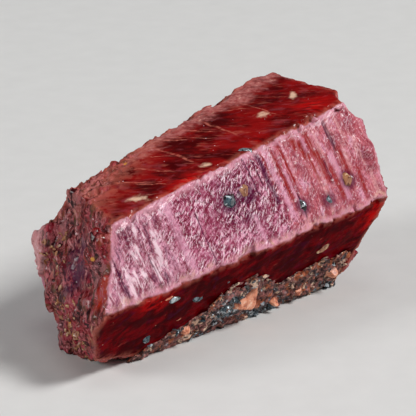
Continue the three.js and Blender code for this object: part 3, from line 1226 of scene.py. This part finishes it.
        # Pale, plum and ember bands along the seams; the ember bands are painted glow.
        for tone, seams in ((self.silk, PALE_SEAMS), (self.plum, PLUM_SEAMS), (self.ember, EMBER_SEAMS)):
            for seam in seams:
                weight = 0.9 if seam.depth > 0 else 0.6
                body = s.tint(seam_share(s, seam, warped, up) * streaky * weight, body, tone)
        # Plum halos round each grain set in the face: partly fractures round the grain, partly painted shade.
        for centre in ((-5.1, -7.7, 4.9), (-2.8, -7.7, 5.0), (2.9, -9.4, 2.0), (6.4, -9.8, 1.6),
                       (9.6, -9.9, 2.8)):
            body = s.tint(s.blob(q, centre, (1.35, 1.3, 1.3), 0.5) * 0.7, body, self.plum)
        foot = s.ramp(up + x * 0.04 + (drift - 0.5) * 3.0, -4.2, -5.2)
        body = s.wash(body, self.cream, s.noise(q, 0.7, seed=38.0, detail=3.0), 0.42, 0.62, foot, 0.6)
        # Painted highlight: white strokes along the top of the face, at the ridge with the top face.
        ridge_highlight = s.ramp(up - x * 0.04 + (drift - 0.5) * 2.0, 3.2, 4.2)
        body = s.wash(body, self.white, slanted, 0.4, 0.56, ridge_highlight, 0.7)
        return body

    def shaded(self, s: NodeScript, q: Field) -> Field:
        """Returns the colour of the lower front and upper back faces: dark, with a few warm streaks, painted
        glow near both ends and painted glints.
        """
        slope = s.laid(q, (0.93, -0.18, 0.32), (-0.077, -0.863, -0.499))
        drift = s.noise(slope, (2.6, 1.7, 2.0), seed=43.0, detail=4.0, distortion=0.6, roughness=0.6)
        body = s.wash(self.deep_lower, self.wine_lower, drift, 0.4, 0.66)
        veil = s.noise(slope, (1.7, 1.1, 1.4), seed=48.0, detail=3.0, distortion=0.8)
        body = s.wash(body, self.plum, veil, 0.54, 0.72, 0.4)
        _, y, _ = s.split(q)
        behind = s.ramp(y, 0.0, 2.0)
        bars = s.noise(q, (0.45, 4.0, 4.0), seed=49.0, detail=3.0, roughness=0.6)
        body = s.wash(body, self.glow, bars, 0.52, 0.68, behind, 0.6)
        body = s.wash(body, self.bruise, bars, 0.6, 0.74, behind, s.ramp(veil, 0.42, 0.6), 0.7)
        strands = s.noise(s.turned(q, (0.24, 0.48, -0.84), (0.97, -0.12, 0.21)), (3.2, 0.34, 1.2), seed=42.0,
                          detail=4.0, roughness=0.6, distortion=0.5)
        body = s.wash(body, self.salmon, strands, 0.56, 0.72, behind, s.ramp(veil, 0.6, 0.44), 0.7)
        warm = s.ramp(s.noise(slope, (1.5, 0.36, 1.0), seed=44.0, detail=4.0, distortion=0.5), 0.62, 0.78)
        body = s.wash(body, self.salmon, drift, 0.46, 0.6, warm, 0.5)
        # Painted glow: bright red patches near both ends of the lower front face, where light shines through
        # the crystal.
        glow_patches = s.highest(s.blob(q, (-17.0, -8.7, -0.8), (3.0, 2.6, 2.4), 0.9),
                        s.blob(q, (12.6, -10.6, -2.0), (3.2, 3.0, 3.0), 0.9))
        body = s.wash(body, self.glow, drift, 0.3, 0.6, glow_patches, 0.85)
        streak = s.noise(slope, (0.8, 0.4, 0.6), seed=46.0, detail=4.0, roughness=0.65)
        body = s.wash(body, self.deep_lower, streak, 0.5, 0.34, 0.7)
        # Painted glints: small cream specks.
        glint_specks = s.cells(q, 1.3, seed=45.0) + s.noise(q, 2.0, seed=47.0) * 0.3
        return s.wash(body, self.cream, glint_specks, 0.2, 0.15, 0.7)

    def broken(self, s: NodeScript, q: Field) -> Field:
        """Returns the colour of the narrow break: brown and purple chips between upright pale bands, painted
        glow along the front edge and painted highlights on the smooth lump.
        """
        warp = s.noise(q, 0.9, seed=50.0, detail=2.0) - 0.5
        grown = s.turned(q + warp * 0.9, UPRIGHT, ACROSS_BREAK)
        drift = s.noise(q, 2.4, seed=51.0, detail=2.0)
        bands = s.noise(grown, (3.4, 0.9, 0.9), seed=52.0, detail=3.0, roughness=0.6)
        tone = s.noise(grown, (0.9, 0.42, 0.42), seed=54.0, detail=4.0, roughness=0.65)
        body = s.wash(self.shadow, self.umber, tone, 0.38, 0.5)
        body = s.wash(body, self.clay, tone, 0.45, 0.58)
        body = s.wash(body, self.blush, tone, 0.56, 0.68)
        pick, other, third = s.split(s.cells(grown / (1.5, 0.9, 0.9), 1.0, seed=53.0, output="Color"))
        body = s.wash(body, self.wine, pick, 0.55, 0.85, 0.55)
        body = s.wash(body, self.olive, bands, 0.52, 0.66, s.ramp(tone, 0.7, 0.5), 0.45)
        body = s.wash(body, self.straw, other, 0.86, 0.97, s.ramp(tone, 0.44, 0.6), 0.5)
        body = s.wash(body, self.orchid, third, 0.82, 0.95, 0.5)
        purple = s.blob(q, (-19.4, -1.2, 1.6), (3.0, 3.8, 5.4), 0.8)
        body = s.wash(body, self.violet, tone, 0.75, 0.45, purple, 0.85)
        body = s.wash(body, self.plum, pick, 0.45, 0.2, purple, 0.7)
        clefts = s.contour(bands, 0.035) * s.ramp(drift, 0.35, 0.5)
        body = s.tint(clefts * 0.8, body, self.shadow)
        flush = s.ramp(s.noise(q, 1.9, seed=56.0, detail=3.0), 0.46, 0.62)
        body = s.wash(body, self.coral, tone, 0.42, 0.62, flush, 0.7)
        body = s.wash(body, self.magenta, tone, 0.36, 0.5, flush, s.ramp(pick, 0.4, 0.7), 0.5)
        # Painted glow: orange-red along the edge with the etched face, where light shines through the thin
        # edge.
        edge_glow = s.blob(q, (-22.4, -6.8, 2.4), (1.6, 1.7, 5.6), 0.7) * s.ramp(tone, 0.62, 0.42)
        body = s.tint(edge_glow * 0.8, body, self.rust)
        smooth_lump = s.blob(q, (-17.2, 7.4, 0.4), (2.8, 2.4, 3.6), 0.4)
        body = s.wash(body, self.blush, tone, 0.26, 0.48, smooth_lump, 0.9)
        # Painted highlights: white on the smooth lump.
        body = s.wash(body, self.white, tone, 0.56, 0.68, smooth_lump, 0.6)
        upper = s.blob(q, (-13.0, 3.4, 6.2), (5.0, 3.0, 3.0), 0.6)
        body = s.wash(body, self.bruise, tone, 0.4, 0.58, upper, 0.7)
        gold = s.cells(q, 1.9, seed=57.0) + s.noise(q, 0.4, seed=58.0, detail=2.0) * 0.1
        body = s.wash(body, self.gold, gold, 0.19, 0.12, 0.9)
        glints = s.cells(grown, 0.55, seed=55.0) + s.noise(q, 1.8, seed=59.0) * 0.3
        return s.wash(body, self.white, glints, 0.24, 0.16, 0.85)

    def parted(self, s: NodeScript, q: Field) -> Field:
        """Returns the colour of the broad break: wine and pink plates of the basal parting."""
        plates = (q + (s.noise(q, 1.2, seed=69.0, detail=3.0) - 0.5) * 0.5) / PLATES
        pick, other, _ = s.split(s.cells(plates, 1.0, seed=70.0, output="Color"))
        tone = s.noise(q, (0.8, 1.6, 1.6), seed=65.0, detail=4.0, roughness=0.6, distortion=0.4)
        drift = s.noise(q, 2.8, seed=66.0, detail=3.0)
        body = s.wash(self.deep, self.wine, tone * 0.8 + pick * 0.2, 0.36, 0.62)
        body = s.wash(body, self.magenta, drift * 0.7 + other * 0.3, 0.48, 0.7, 0.7)
        body = s.wash(body, self.glow, drift, 0.44, 0.3, s.ramp(tone, 0.4, 0.6), 0.8)
        haze = s.ramp(s.noise(q, 3.4, seed=64.0, detail=4.0), 0.44, 0.62) * s.mix(other, 0.4, 1.0)
        body = s.wash(body, self.coral, tone, 0.4, 0.62, haze)
        body = s.wash(body, self.silk, tone, 0.56, 0.72, haze, 0.8)
        for number, (rise, run) in enumerate(((0.0, 1.0), (0.87, -0.5), (-0.87, -0.5))):
            beam = s.turned(q, (0.0, run, rise), (0.0, -rise, run))
            strands = s.noise(beam, (3.6, 0.34, 4.0), seed=72.0 + number, detail=3.0, roughness=0.6)
            shown = s.ramp(s.noise(q, 2.2, seed=75.0 + number, detail=2.0), 0.46, 0.6)
            body = s.wash(body, self.salmon, strands, 0.56, 0.72, shown, 0.5)
            body = s.wash(body, self.deep, strands, 0.44, 0.3, shown, 0.6)
        edge = s.cells(plates, 1.0, seed=70.0, feature="DISTANCE_TO_EDGE")
        worn = s.ramp(s.noise(q, 0.8, seed=78.0, detail=3.0), 0.46, 0.62)
        body = s.wash(body, self.coral, edge, 0.03, 0.004, worn, 0.6)
        glints = s.cells(q, 0.9, seed=67.0) + s.noise(q, 1.8, seed=59.0) * 0.3
        return s.wash(body, self.white, glints, 0.22, 0.15, 0.8)

    def make(self) -> bpy.types.Material:
        """Returns the material."""
        material, s, shader = finish_tree("ruby_rough")
        q = s.attribute(GROWTH)
        _, front, lower = s.split(s.attribute(FRONTS))
        base, lower_back, upper_back = s.split(s.attribute(REARS))
        narrow, broad, ridge = s.split(s.attribute(BREAKS))
        etched = s.highest(front, lower_back)
        shaded = s.highest(lower, upper_back) * (1.0 - etched)
        rock = s.highest(narrow, broad, base * 0.5)
        colour = s.tint(etched, self.glassy(s, q), self.etched(s, q))
        colour = s.tint(shaded, colour, self.shaded(s, q))
        colour = s.tint(s.highest(narrow, base * 0.5), colour, self.broken(s, q))
        colour = s.tint(broad, colour, self.parted(s, q))
        scuff = ridge * s.ramp(s.noise(q, 0.9, seed=61.0, detail=4.0, roughness=0.6), 0.38, 0.56)
        worn = s.mix(s.ramp(s.noise(q, 2.2, seed=60.0, detail=3.0), 0.4, 0.6), 0.2, 0.85)
        scuff = s.highest(scuff, s.ramp(ridge, 0.6, 0.95) * worn)
        colour = s.tint(scuff * 0.55, colour, self.salmon)
        colour = s.tint(scuff * etched * 0.7, colour, self.silk)
        dull = s.mix(etched, 0.26, 0.44)
        dull = s.mix(rock, dull, 0.42)
        dull = s.mix(scuff, dull, 0.5)
        shine = s.mix(etched, s.mix(shaded, 0.3, 0.05), 0.22)
        shine = s.mix(rock, shine, 0.4)
        fine = s.noise(q, 0.2, seed=62.0, detail=3.0, roughness=0.6)
        silk = (self.strokes(s, q, SLANT, (0.9, 0.16, 0.4), 33.0)
                + self.strokes(s, q, STEEP, (0.7, 0.14, 0.4), 34.0))
        facets = s.facets(q, (0.5, 0.44, 0.7), 63.0) + s.facets(q, (0.24, 0.2, 0.3), 68.0)
        height = s.mix(etched, fine * 0.35, silk * 0.9 + fine * 0.3)
        height = s.mix(rock, height, fine * 0.7 + facets * 5.0)
        add_bump(s, shader, height, 0.09, 0.7)
        s.call(shader, {
            "Base Color": colour, "Roughness": dull, "IOR": self.ior, "Specular IOR Level": 0.0,
            "Coat Weight": shine, "Coat Roughness": 0.16, "Coat IOR": 1.6, "Subsurface Weight": 0.06,
            "Subsurface Radius": (1.0, 0.12, 0.1), "Subsurface Scale": 0.8 * MM,
        })
        return material


@dataclass(frozen=True)
class MatrixFinish:
    """The rind: brown and pinkish granular rock with cream, rusty and grey grains."""

    brown: Colour = display(142, 86, 76)
    dusk: Colour = display(46, 26, 28)
    pinkish: Colour = display(196, 128, 124)
    buff: Colour = display(242, 208, 180)
    rust: Colour = display(186, 98, 58)
    ash: Colour = display(190, 192, 198)
    slate: Colour = display(50, 50, 58)

    def make(self, place: CrystalFrame) -> bpy.types.Material:
        """Returns the material."""
        material, s, shader = finish_tree("matrix_rock")
        q = place.within(s, s.own_place())
        grain = s.noise(q, 0.45, seed=71.0, detail=4.0, roughness=0.6)
        pick, other, third = s.split(s.cells(q, 0.75, seed=72.0, output="Color"))
        body = s.wash(self.dusk, self.brown, grain, 0.4, 0.6)
        mottle = s.ramp(s.noise(q, 0.8, seed=76.0, detail=4.0, distortion=0.6), 0.48, 0.62)
        body = s.tint(mottle * s.mix(pick, 0.2, 1.0), body, self.pinkish)
        body = s.wash(body, self.buff, other, 0.72, 0.84, s.ramp(grain, 0.4, 0.56), 0.9)
        body = s.wash(body, self.rust, third, 0.76, 0.88, s.ramp(grain, 0.38, 0.5), 0.85)
        near = s.highest(s.blob(q, (-5.0, -6.6, -6.8), (2.6, 3.0, 3.0)),
                         s.blob(q, (1.2, -5.4, -9.0), (2.4, 2.0, 1.8)))
        grey = s.ramp(s.noise(q, 1.4, seed=73.0, detail=4.0) + near * 0.34, 0.58, 0.66)
        body = s.wash(body, self.slate, pick, 0.9, 0.6, grey, 0.95)
        body = s.wash(body, self.ash, s.noise(q, 0.35, seed=78.0, detail=3.0), 0.54, 0.62, grey)
        # Dark brown specks scattered over the rind by noise.
        dark_specks = s.noise(q, 0.5, seed=77.0, detail=4.0, roughness=0.6)
        body = s.wash(body, self.dusk, dark_specks, 0.46, 0.36, 0.95)
        glints = s.cells(q, 0.55, seed=74.0)
        body = s.wash(body, display(240, 226, 214), glints, 0.12, 0.06, 0.8)
        s.call(shader, {"Base Color": body, "Roughness": s.mix(grain, 0.45, 0.8), "Specular IOR Level": 0.4})
        add_bump(s, shader, grain + s.facets(q, (0.4, 0.4, 0.4), 75.0) * 2.4, 0.12, 0.8)
        return material


@dataclass(frozen=True)
class MicaFinish:
    """Mica and dark grains: near black flakes with grey and bluish cleavage faces."""

    black: Colour = display(22, 22, 26)
    steel: Colour = display(112, 122, 130)
    bronze: Colour = display(96, 78, 62)
    glint: Colour = display(206, 216, 222)
    teal: Colour = display(58, 92, 104)

    def make(self, place: CrystalFrame) -> bpy.types.Material:
        """Returns the material."""
        material, s, shader = finish_tree("mica_flakes")
        q = place.within(s, s.own_place())
        leaf = s.noise(q, 0.3, seed=81.0, detail=3.0)
        bent = q + (s.noise(q, 0.5, seed=84.0, detail=2.0) - 0.5) * 0.5
        pick, other, third = s.split(s.cells(bent, 0.5, seed=82.0, output="Color"))
        body = s.wash(self.black, self.steel, pick * 0.6 + leaf * 0.4, 0.34, 0.62)
        body = s.wash(body, self.glint, other, 0.7, 0.86, s.ramp(leaf, 0.36, 0.52))
        body = s.wash(body, self.teal, third, 0.76, 0.9, 0.6)
        body = s.wash(body, self.bronze, third, 0.2, 0.1, 0.5)
        s.call(shader, {"Base Color": body, "Roughness": s.mix(leaf, 0.12, 0.4), "Metallic": 0.25})
        add_bump(s, shader, leaf * 0.6 + s.facets(bent, (0.5, 0.5, 0.5), 82.0) * 4.0, 0.1, 0.8)
        return material


@dataclass(frozen=True)
class FeldsparFinish:
    """Feldspar and quartz grains: peach, rusty orange and smoky gold."""

    name: str
    shade: Colour
    body: Colour
    light: Colour
    roughness: float = 0.4

    def make(self, place: CrystalFrame) -> bpy.types.Material:
        """Returns the material."""
        material, s, shader = finish_tree(self.name)
        q = place.within(s, s.own_place())
        grain = s.noise(q, 0.7, seed=91.0, detail=4.0, roughness=0.65, distortion=0.4)
        veins = s.noise(q, 0.35, seed=92.0, detail=3.0)
        colour = s.wash(self.shade, self.body, grain, 0.34, 0.52)
        colour = s.wash(colour, self.light, grain, 0.54, 0.68, 0.9)
        colour = s.wash(colour, self.shade, veins, 0.36, 0.28, 0.6)
        rough = s.mix(veins, self.roughness * 0.7, self.roughness * 1.3)
        s.call(shader, {"Base Color": colour, "Roughness": rough})
        add_bump(s, shader, grain * 0.5 + veins + s.facets(q, (0.6, 0.6, 0.6), 93.0) * 2.0, 0.08, 0.6)
        return material


# ---------------------------------------------------------------- the rind and the grains


@dataclass(frozen=True)
class MatrixRind:
    """The granular rind along the lower edge."""

    place: CrystalFrame
    shape: RindShape
    voxel: float = 0.11
    quick_voxel: float = 0.18
    overlap: float = 0.2
    margins: Triple = (2.6, 1.6, 2.4)

    def grow(self, material: bpy.types.Material) -> bpy.types.Object:
        """Builds the rind.

        Args:
            material: its finish.

        Returns:
            The object, riding on the frame.
        """
        tree = GrowthTree("rind_growth", {"Proud": 0.3, "Lump size": 0.8, "Grit": 0.4})
        growth = self.place.within(tree, tree.position())
        x, y, z = tree.split(growth)
        prism = self.place.shape
        face_y, face_z = Face.LOWER_FRONT.outward
        level = y * face_y + z * face_z - x * prism.lean - prism.distances[Face.LOWER_FRONT]
        under = -z - x * prism.lean - prism.distances[Face.BASE]
        lumps = tree.noise(growth, 1.5, seed=101.0, detail=2.0)
        chunks = tree.facets(growth, (0.9, 0.8, 0.8), 102.0)
        chunks = chunks + tree.facets(growth, (0.5, 0.5, 0.5), 103.0) * 0.7
        proud = (tree.given("Proud") + (lumps - 0.5) * 1.3 * tree.given("Lump size")
                 + chunks * tree.given("Grit"))
        inside = self.shape.inside(tree, growth, prism) + self.overlap
        low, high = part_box("matrix_rind")
        edge = Vector(self.margins) * MM
        solid = tree.lowest(inside, proud - level, (lumps - 0.5) * 0.8 - under)
        voxel = self.voxel * MM
        mesh = tree.solid(solid, low - edge, high + edge, voxel, self.place.low.z)
        piece = tree.grown("matrix_rind_rough", mesh, material)
        rest_on_floor(piece, self.place.low.z)
        keep_largest(piece)
        dress(piece, "matrix_rind")
        return piece


class Look(Enum):
    """What a grain is made of."""

    MICA = "mica"
    SMOKY = "smoky"
    PEACH = "peach"


@dataclass(frozen=True)
class Grain:
    """A grain set in a face, in millimetres and degrees."""

    look: Look
    face: Face
    x: float
    across: float
    length: float
    width: float
    rise: float
    turn: float = 0.0
    sides: int = 14


SET_GRAINS = (
    Grain(Look.MICA, Face.FRONT, -5.0, 0.7, 1.8, 1.6, 0.5),
    Grain(Look.SMOKY, Face.FRONT, -2.9, 0.8, 1.5, 1.5, 0.5),
    Grain(Look.MICA, Face.FRONT, 2.9, -2.8, 1.5, 1.35, 0.35, 20.0),
    Grain(Look.MICA, Face.FRONT, 6.4, -3.2, 0.95, 1.9, 0.32, 8.0),
    Grain(Look.SMOKY, Face.FRONT, 9.6, -2.4, 1.5, 1.5, 0.6),
    Grain(Look.SMOKY, Face.FRONT, -0.8, -3.6, 0.5, 1.0, 0.16),
    Grain(Look.MICA, Face.TOP, -0.1, -5.3, 1.5, 0.75, 0.2, -47.0),
    Grain(Look.MICA, Face.LOWER_FRONT, -14.2, 2.7, 1.5, 1.0, 0.35),
    Grain(Look.MICA, Face.LOWER_FRONT, -10.6, 1.2, 1.5, 0.9, 0.3, -20.0),
    Grain(Look.MICA, Face.LOWER_FRONT, -15.9, -2.3, 1.2, 1.1, 0.4),
    Grain(Look.MICA, Face.LOWER_FRONT, -7.0, 2.1, 0.8, 0.5, 0.2),
    Grain(Look.SMOKY, Face.LOWER_FRONT, 6.4, 1.3, 1.8, 1.5, 0.4, 30.0),
    Grain(Look.PEACH, Face.LOWER_FRONT, -15.2, 3.3, 1.3, 0.6, 0.22, 10.0),
    Grain(Look.PEACH, Face.LOWER_FRONT, -12.2, -1.1, 0.9, 0.4, 0.2, 40.0),
    Grain(Look.PEACH, Face.LOWER_FRONT, -2.6, -2.3, 4.2, 3.5, 1.25, 24.0, 22),
    Grain(Look.PEACH, Face.LOWER_FRONT, 2.0, -4.3, 1.3, 0.8, 1.0, 30.0),
    Grain(Look.PEACH, Face.LOWER_FRONT, 9.9, -3.4, 1.5, 1.4, 0.95),
    Grain(Look.PEACH, Face.LOWER_FRONT, -10.5, -3.2, 1.6, 1.2, 0.7, 10.0),
    Grain(Look.PEACH, Face.LOWER_FRONT, 5.6, -4.6, 1.6, 1.3, 0.95),
)


def faceted_grain(generator: np.random.Generator, sides: int) -> tuple[np.ndarray, list[tuple[int, ...]]]:
    """A stone of about unit radius, cut by random planes.

    Args:
        generator: gives the planes.
        sides: how many planes.

    Returns:
        Its points and its faces.
    """
    sphere = bmesh.new()
    bmesh.ops.create_icosphere(sphere, subdivisions=4, radius=1.0)
    points = np.array([v.co for v in sphere.verts])
    faces = [tuple(v.index for v in face.verts) for face in sphere.faces]
    sphere.free()
    grazing, missed, longest = 0.05, 9.0, 1.12  # a plane that faces a point less misses it; caps on the reach
    normals = generator.normal(size=(sides, 3))
    normals /= np.linalg.norm(normals, axis=1)[:, None]
    depths = generator.uniform(0.72, 1.0, sides)
    facing = points @ normals.T
    reach = np.where(facing > grazing, depths / np.maximum(facing, grazing), missed)
    return points * np.minimum(reach.min(1), longest)[:, None], faces


@dataclass(frozen=True)
class GrainSet:
    """The grains that sit in the faces, one piece for each look."""

    place: CrystalFrame
    grains: tuple[Grain, ...] = SET_GRAINS
    seed: int = 11

    def build(self, look: Look, slot: str, material: bpy.types.Material) -> bpy.types.Object:
        """Builds the grains of one look.

        Args:
            look: which grains.
            slot: meant as their material slot; not used.
            material: its finish.

        Returns:
            The object, riding on the frame.
        """
        generator = np.random.default_rng(self.seed)
        name = look.value + "_grains"
        points, faces = [], []
        for grain in self.grains:
            shape, sides = faceted_grain(generator, grain.sides)
            if grain.look is not look:
                continue
            along = Vector(self.place.axes()[0])
            out = self.place.outward(grain.face)
            side = out.cross(along)
            side *= 1 if side.dot(self.place.sideways(grain.face)) > 0 else -1
            turn = math.radians(grain.turn)
            long_way = along * math.cos(turn) + side * math.sin(turn)
            short_way = out.cross(long_way)
            frame_of = np.array([long_way * grain.length / 2, short_way * grain.width / 2,
                                 out * grain.rise * 1.5])
            centre = self.place.on_face(grain.face, grain.x, grain.across, -grain.rise * 0.5)
            start = sum(len(p) for p in points)
            points.append(np.array(centre) + shape @ frame_of * MM)
            faces += [tuple(start + i for i in corner) for corner in sides]
        mesh = bpy.data.meshes.new(name)
        mesh.from_pydata(np.concatenate(points).tolist(), [], faces)
        face_out(mesh)
        mesh.materials.append(material)
        piece = in_scene(name, mesh)
        dress(piece, "matrix_rind")
        return piece


def face_out(mesh: bpy.types.Mesh) -> None:
    """Turns every face of a mesh of closed shells outwards."""
    work = bmesh.new()
    work.from_mesh(mesh)
    bmesh.ops.recalc_face_normals(work, faces=work.faces)
    work.to_mesh(mesh)
    work.free()


@dataclass(frozen=True)
class FlakeDrift:
    """Small flakes strewn over part of a piece.

    Attributes:
        name: the piece's name.
        place: the crystal's frame.
        spots: centre and radius of each patch of flakes, in millimetres.
        density: flakes for each square millimetre of a patch.
        background: the share of that density outside the patches.
        size: smallest and largest width, in millimetres.
        thickness: in millimetres.
        lean: how far a flake tilts off the surface, in radians.
        seed: the seed of every draw.
    """

    name: str
    place: CrystalFrame
    spots: tuple[tuple[Triple, float], ...]
    density: float
    background: float
    size: tuple[float, float]
    thickness: float
    lean: float
    seed: int

    def drawn(self, tree: GrowthTree, draw: int, low: Triple, high: Triple) -> Field:
        """Returns a random vector for each flake, between low and high; draw numbers the draw."""
        made = tree.node("FunctionNodeRandomValue", data_type="FLOAT_VECTOR")
        return tree.call(made, {0: low, 1: high, "Seed": self.seed + draw}, "Value")

    def strew(self, ground: bpy.types.Object, material: bpy.types.Material) -> bpy.types.Object:
        """Builds the flakes.

        Args:
            ground: the piece that they lie on.
            material: their finish.

        Returns:
            The object, riding on the frame.
        """
        values = {"Density": self.density * 1e6, "Thickness": self.thickness * MM, "Seed": float(self.seed)}
        tree = GrowthTree(self.name, values)
        surface = tree.call(tree.node("GeometryNodeObjectInfo"), {"Object": ground}, "Geometry")
        growth = self.place.within(tree, tree.position())
        share = tree.fixed(self.background)
        for centre, radius in self.spots:
            share = tree.highest(share, tree.blob(growth, centre, (radius,) * 3, 0.5))
        scatter = tree.node("GeometryNodeDistributePointsOnFaces")
        points = tree.call(scatter, {"Mesh": surface, "Density": share * tree.given("Density"),
                                     "Seed": tree.given("Seed")}, "Points")
        flake = tree.call(tree.node("GeometryNodeMeshCylinder"),
                          {"Vertices": 6, "Radius": 0.5 * MM, "Depth": tree.given("Thickness")}, "Mesh")
        tilt = self.drawn(tree, 1, (-self.lean, -self.lean, 0.0), (self.lean, self.lean, math.tau))
        turned = tree.call(tree.node("FunctionNodeRotateRotation", rotation_space="LOCAL"),
                           {0: Field(tree, scatter.outputs["Rotation"]), 1: tilt})
        small, large = self.size
        scale = self.drawn(tree, 2, (small, small * 0.6, 0.7), (large, large * 0.8, 1.5))
        placed = tree.call(tree.node("GeometryNodeInstanceOnPoints"),
                           {"Points": points, "Instance": flake, "Rotation": turned, "Scale": scale})
        piece = tree.grown(self.name, placed, material)
        piece.data.shade_flat()
        rest_on_floor(piece, self.place.low.z)
        dress(piece, "matrix_rind")
        return piece


# ---------------------------------------------------------------- the stage


@dataclass(frozen=True)
class Studio:
    """A pale floor, soft lights and the camera, with sizes in metres."""

    azimuth: float = -47.3
    elevation: float = 20.0
    distance: float = 0.26
    lens: float = 225.0
    aim_right: float = -0.27 * MM
    aim_up: float = 0.55 * MM
    floor_size: float = 2.0
    floor_gap: float = 0.02 * MM

    def direction(self, azimuth: float, elevation: float) -> Vector:
        """Returns the direction from the object towards a viewpoint."""
        a, e = math.radians(azimuth), math.radians(elevation)
        return Vector((math.sin(a) * math.cos(e), -math.cos(a) * math.cos(e), math.sin(e)))

    def stood(self, name: str, data: bpy.types.ID, at: Vector, turn: Quaternion) -> bpy.types.Object:
        """Returns a camera or a light, stood at a place and turned."""
        made = in_scene(name, data)
        made.location = at
        made.rotation_mode = "QUATERNION"
        made.rotation_quaternion = turn
        return made

    def camera(self, target: Vector) -> None:
        """Makes the camera.

        Args:
            target: the place on the prism's axis that the view is measured from.
        """
        back = self.direction(self.azimuth, self.elevation)
        turn = (-back).to_track_quat("-Z", "Y")
        aim = target + turn @ Vector((self.aim_right, self.aim_up, 0))
        data = bpy.data.cameras.new("view")
        data.lens, data.sensor_width = self.lens, 36.0
        data.clip_start, data.clip_end = 0.01, 10.0
        bpy.context.scene.camera = self.stood("view", data, aim + back * self.distance, turn)

    def light(self, name: str, azimuth: float, elevation: float, distance: float, size: float,
              strength: float, colour: Colour = (1.0, 1.0, 1.0)) -> None:
        """Makes one soft light that faces the object.

        Args:
            name: its name.
            azimuth: where it stands, in the camera's degrees.
            elevation: how high it stands.
            distance: how far off, in metres.
            size: its side, in metres.
            strength: how bright it makes a white sheet at the object that faces it, from 0 to 1.
            colour: its colour.
        """
        data = bpy.data.lights.new(name, "AREA")
        data.size, data.color = size, colour
        data.energy = strength * math.pi**2 * distance**2
        back = self.direction(azimuth, elevation)
        lamp = self.stood(name, data, back * distance, (-back).to_track_quat("-Z", "Y"))
        lamp.visible_camera = False

    def floor(self) -> None:
        """Makes the pale floor."""
        half = self.floor_size / 2
        mesh = bpy.data.meshes.new("floor")
        corners = [(-half, -half, 0), (half, -half, 0), (half, half, 0), (-half, half, 0)]
        mesh.from_pydata(corners, [], [(0, 1, 2, 3)])
        material, s, shader = finish_tree("pale_floor")
        paper = s.noise(s.own_place() * (1 / MM), 3.0, detail=3.0)
        colour = s.tint(paper, display(218, 217, 215), display(226, 225, 223))
        s.call(shader, {"Base Color": colour, "Roughness": 0.85, "Specular IOR Level": 0.2})
        mesh.materials.append(material)
        floor = in_scene("floor", mesh)
        floor.location.z = -self.floor_gap

    def room(self) -> None:
        """Makes the room: dim overhead and pale near the horizon."""
        world = bpy.data.worlds.new("room")
        world.use_nodes = True
        s = NodeScript(world.node_tree)
        _, _, height = s.split(Field(s, s.node("ShaderNodeTexCoord").outputs["Generated"]))
        pale = s.ramp(height, 0.26, 0.05)
        backdrop = world.node_tree.nodes["Background"]
        s.feed(backdrop.inputs["Color"], s.tint(pale, (0.07, 0.075, 0.08), (0.55, 0.55, 0.55)))
        bpy.context.scene.world = world

    def build(self, target: Vector) -> None:
        """Makes the whole stage round a target."""
        self.camera(target)
        self.floor()
        self.light("key", 25.0, 48.0, 1.2, 0.34, 0.8)
        self.light("side", -112.0, 30.0, 1.2, 0.4, 0.34)
        self.light("overhead", -30.0, 80.0, 1.2, 0.5, 0.1)
        self.room()
        bpy.context.scene.view_settings.view_transform = "Standard"


def main() -> None:
    """Builds every piece in order."""
    logging.basicConfig(level=logging.INFO, format="%(name)s: %(message)s")
    place, rind = CrystalFrame(PrismShape(), "ruby_crystal"), RindShape()
    LOG.info("axis passes through %s", [round(v, 2) for v in place.origin])
    Studio().build(Vector(place.origin) * MM)
    ruby = RubyCrystal(place, rind).grow(RubyFinish().make())
    matrix = MatrixRind(place, rind).grow(MatrixFinish().make(place))
    mica = MicaFinish().make(place)
    smoky = FeldsparFinish("smoky_quartz", shade=display(92, 40, 32), body=display(176, 120, 84),
                           light=display(246, 214, 168), roughness=0.2).make(place)
    peach = FeldsparFinish("peach_feldspar", shade=display(170, 86, 62), body=display(236, 152, 116),
                           light=display(252, 214, 188)).make(place)
    for look, slot, material in ((Look.MICA, "mica", mica), (Look.SMOKY, "feldspar", smoky),
                                 (Look.PEACH, "feldspar", peach)):
        GrainSet(place).build(look, slot, material)
    rind_spots = (((-5.0, -6.8, -6.6), 1.9), ((0.2, -5.8, -8.4), 0.9), ((2.2, -5.2, -9.6), 1.2),
                  ((-0.2, -5.0, -9.4), 1.1), ((-11.6, -6.0, -6.4), 0.8), ((10.4, -5.8, -9.8), 0.8))
    FlakeDrift("mica_flakes_rind", place, rind_spots, density=5.0, background=0.03, size=(0.4, 1.0),
               thickness=0.08, lean=0.6, seed=5).strew(matrix, mica)
    end_spots = (((-20.6, -0.4, -4.6), 4.6), ((-18.6, 3.6, 1.6), 3.0))
    FlakeDrift("glitter_flakes_end", place, end_spots, density=1.4, background=0.0, size=(0.3, 0.9),
               thickness=0.08, lean=0.8, seed=6).strew(ruby, smoky)


if __name__ == "__main__":
    main()
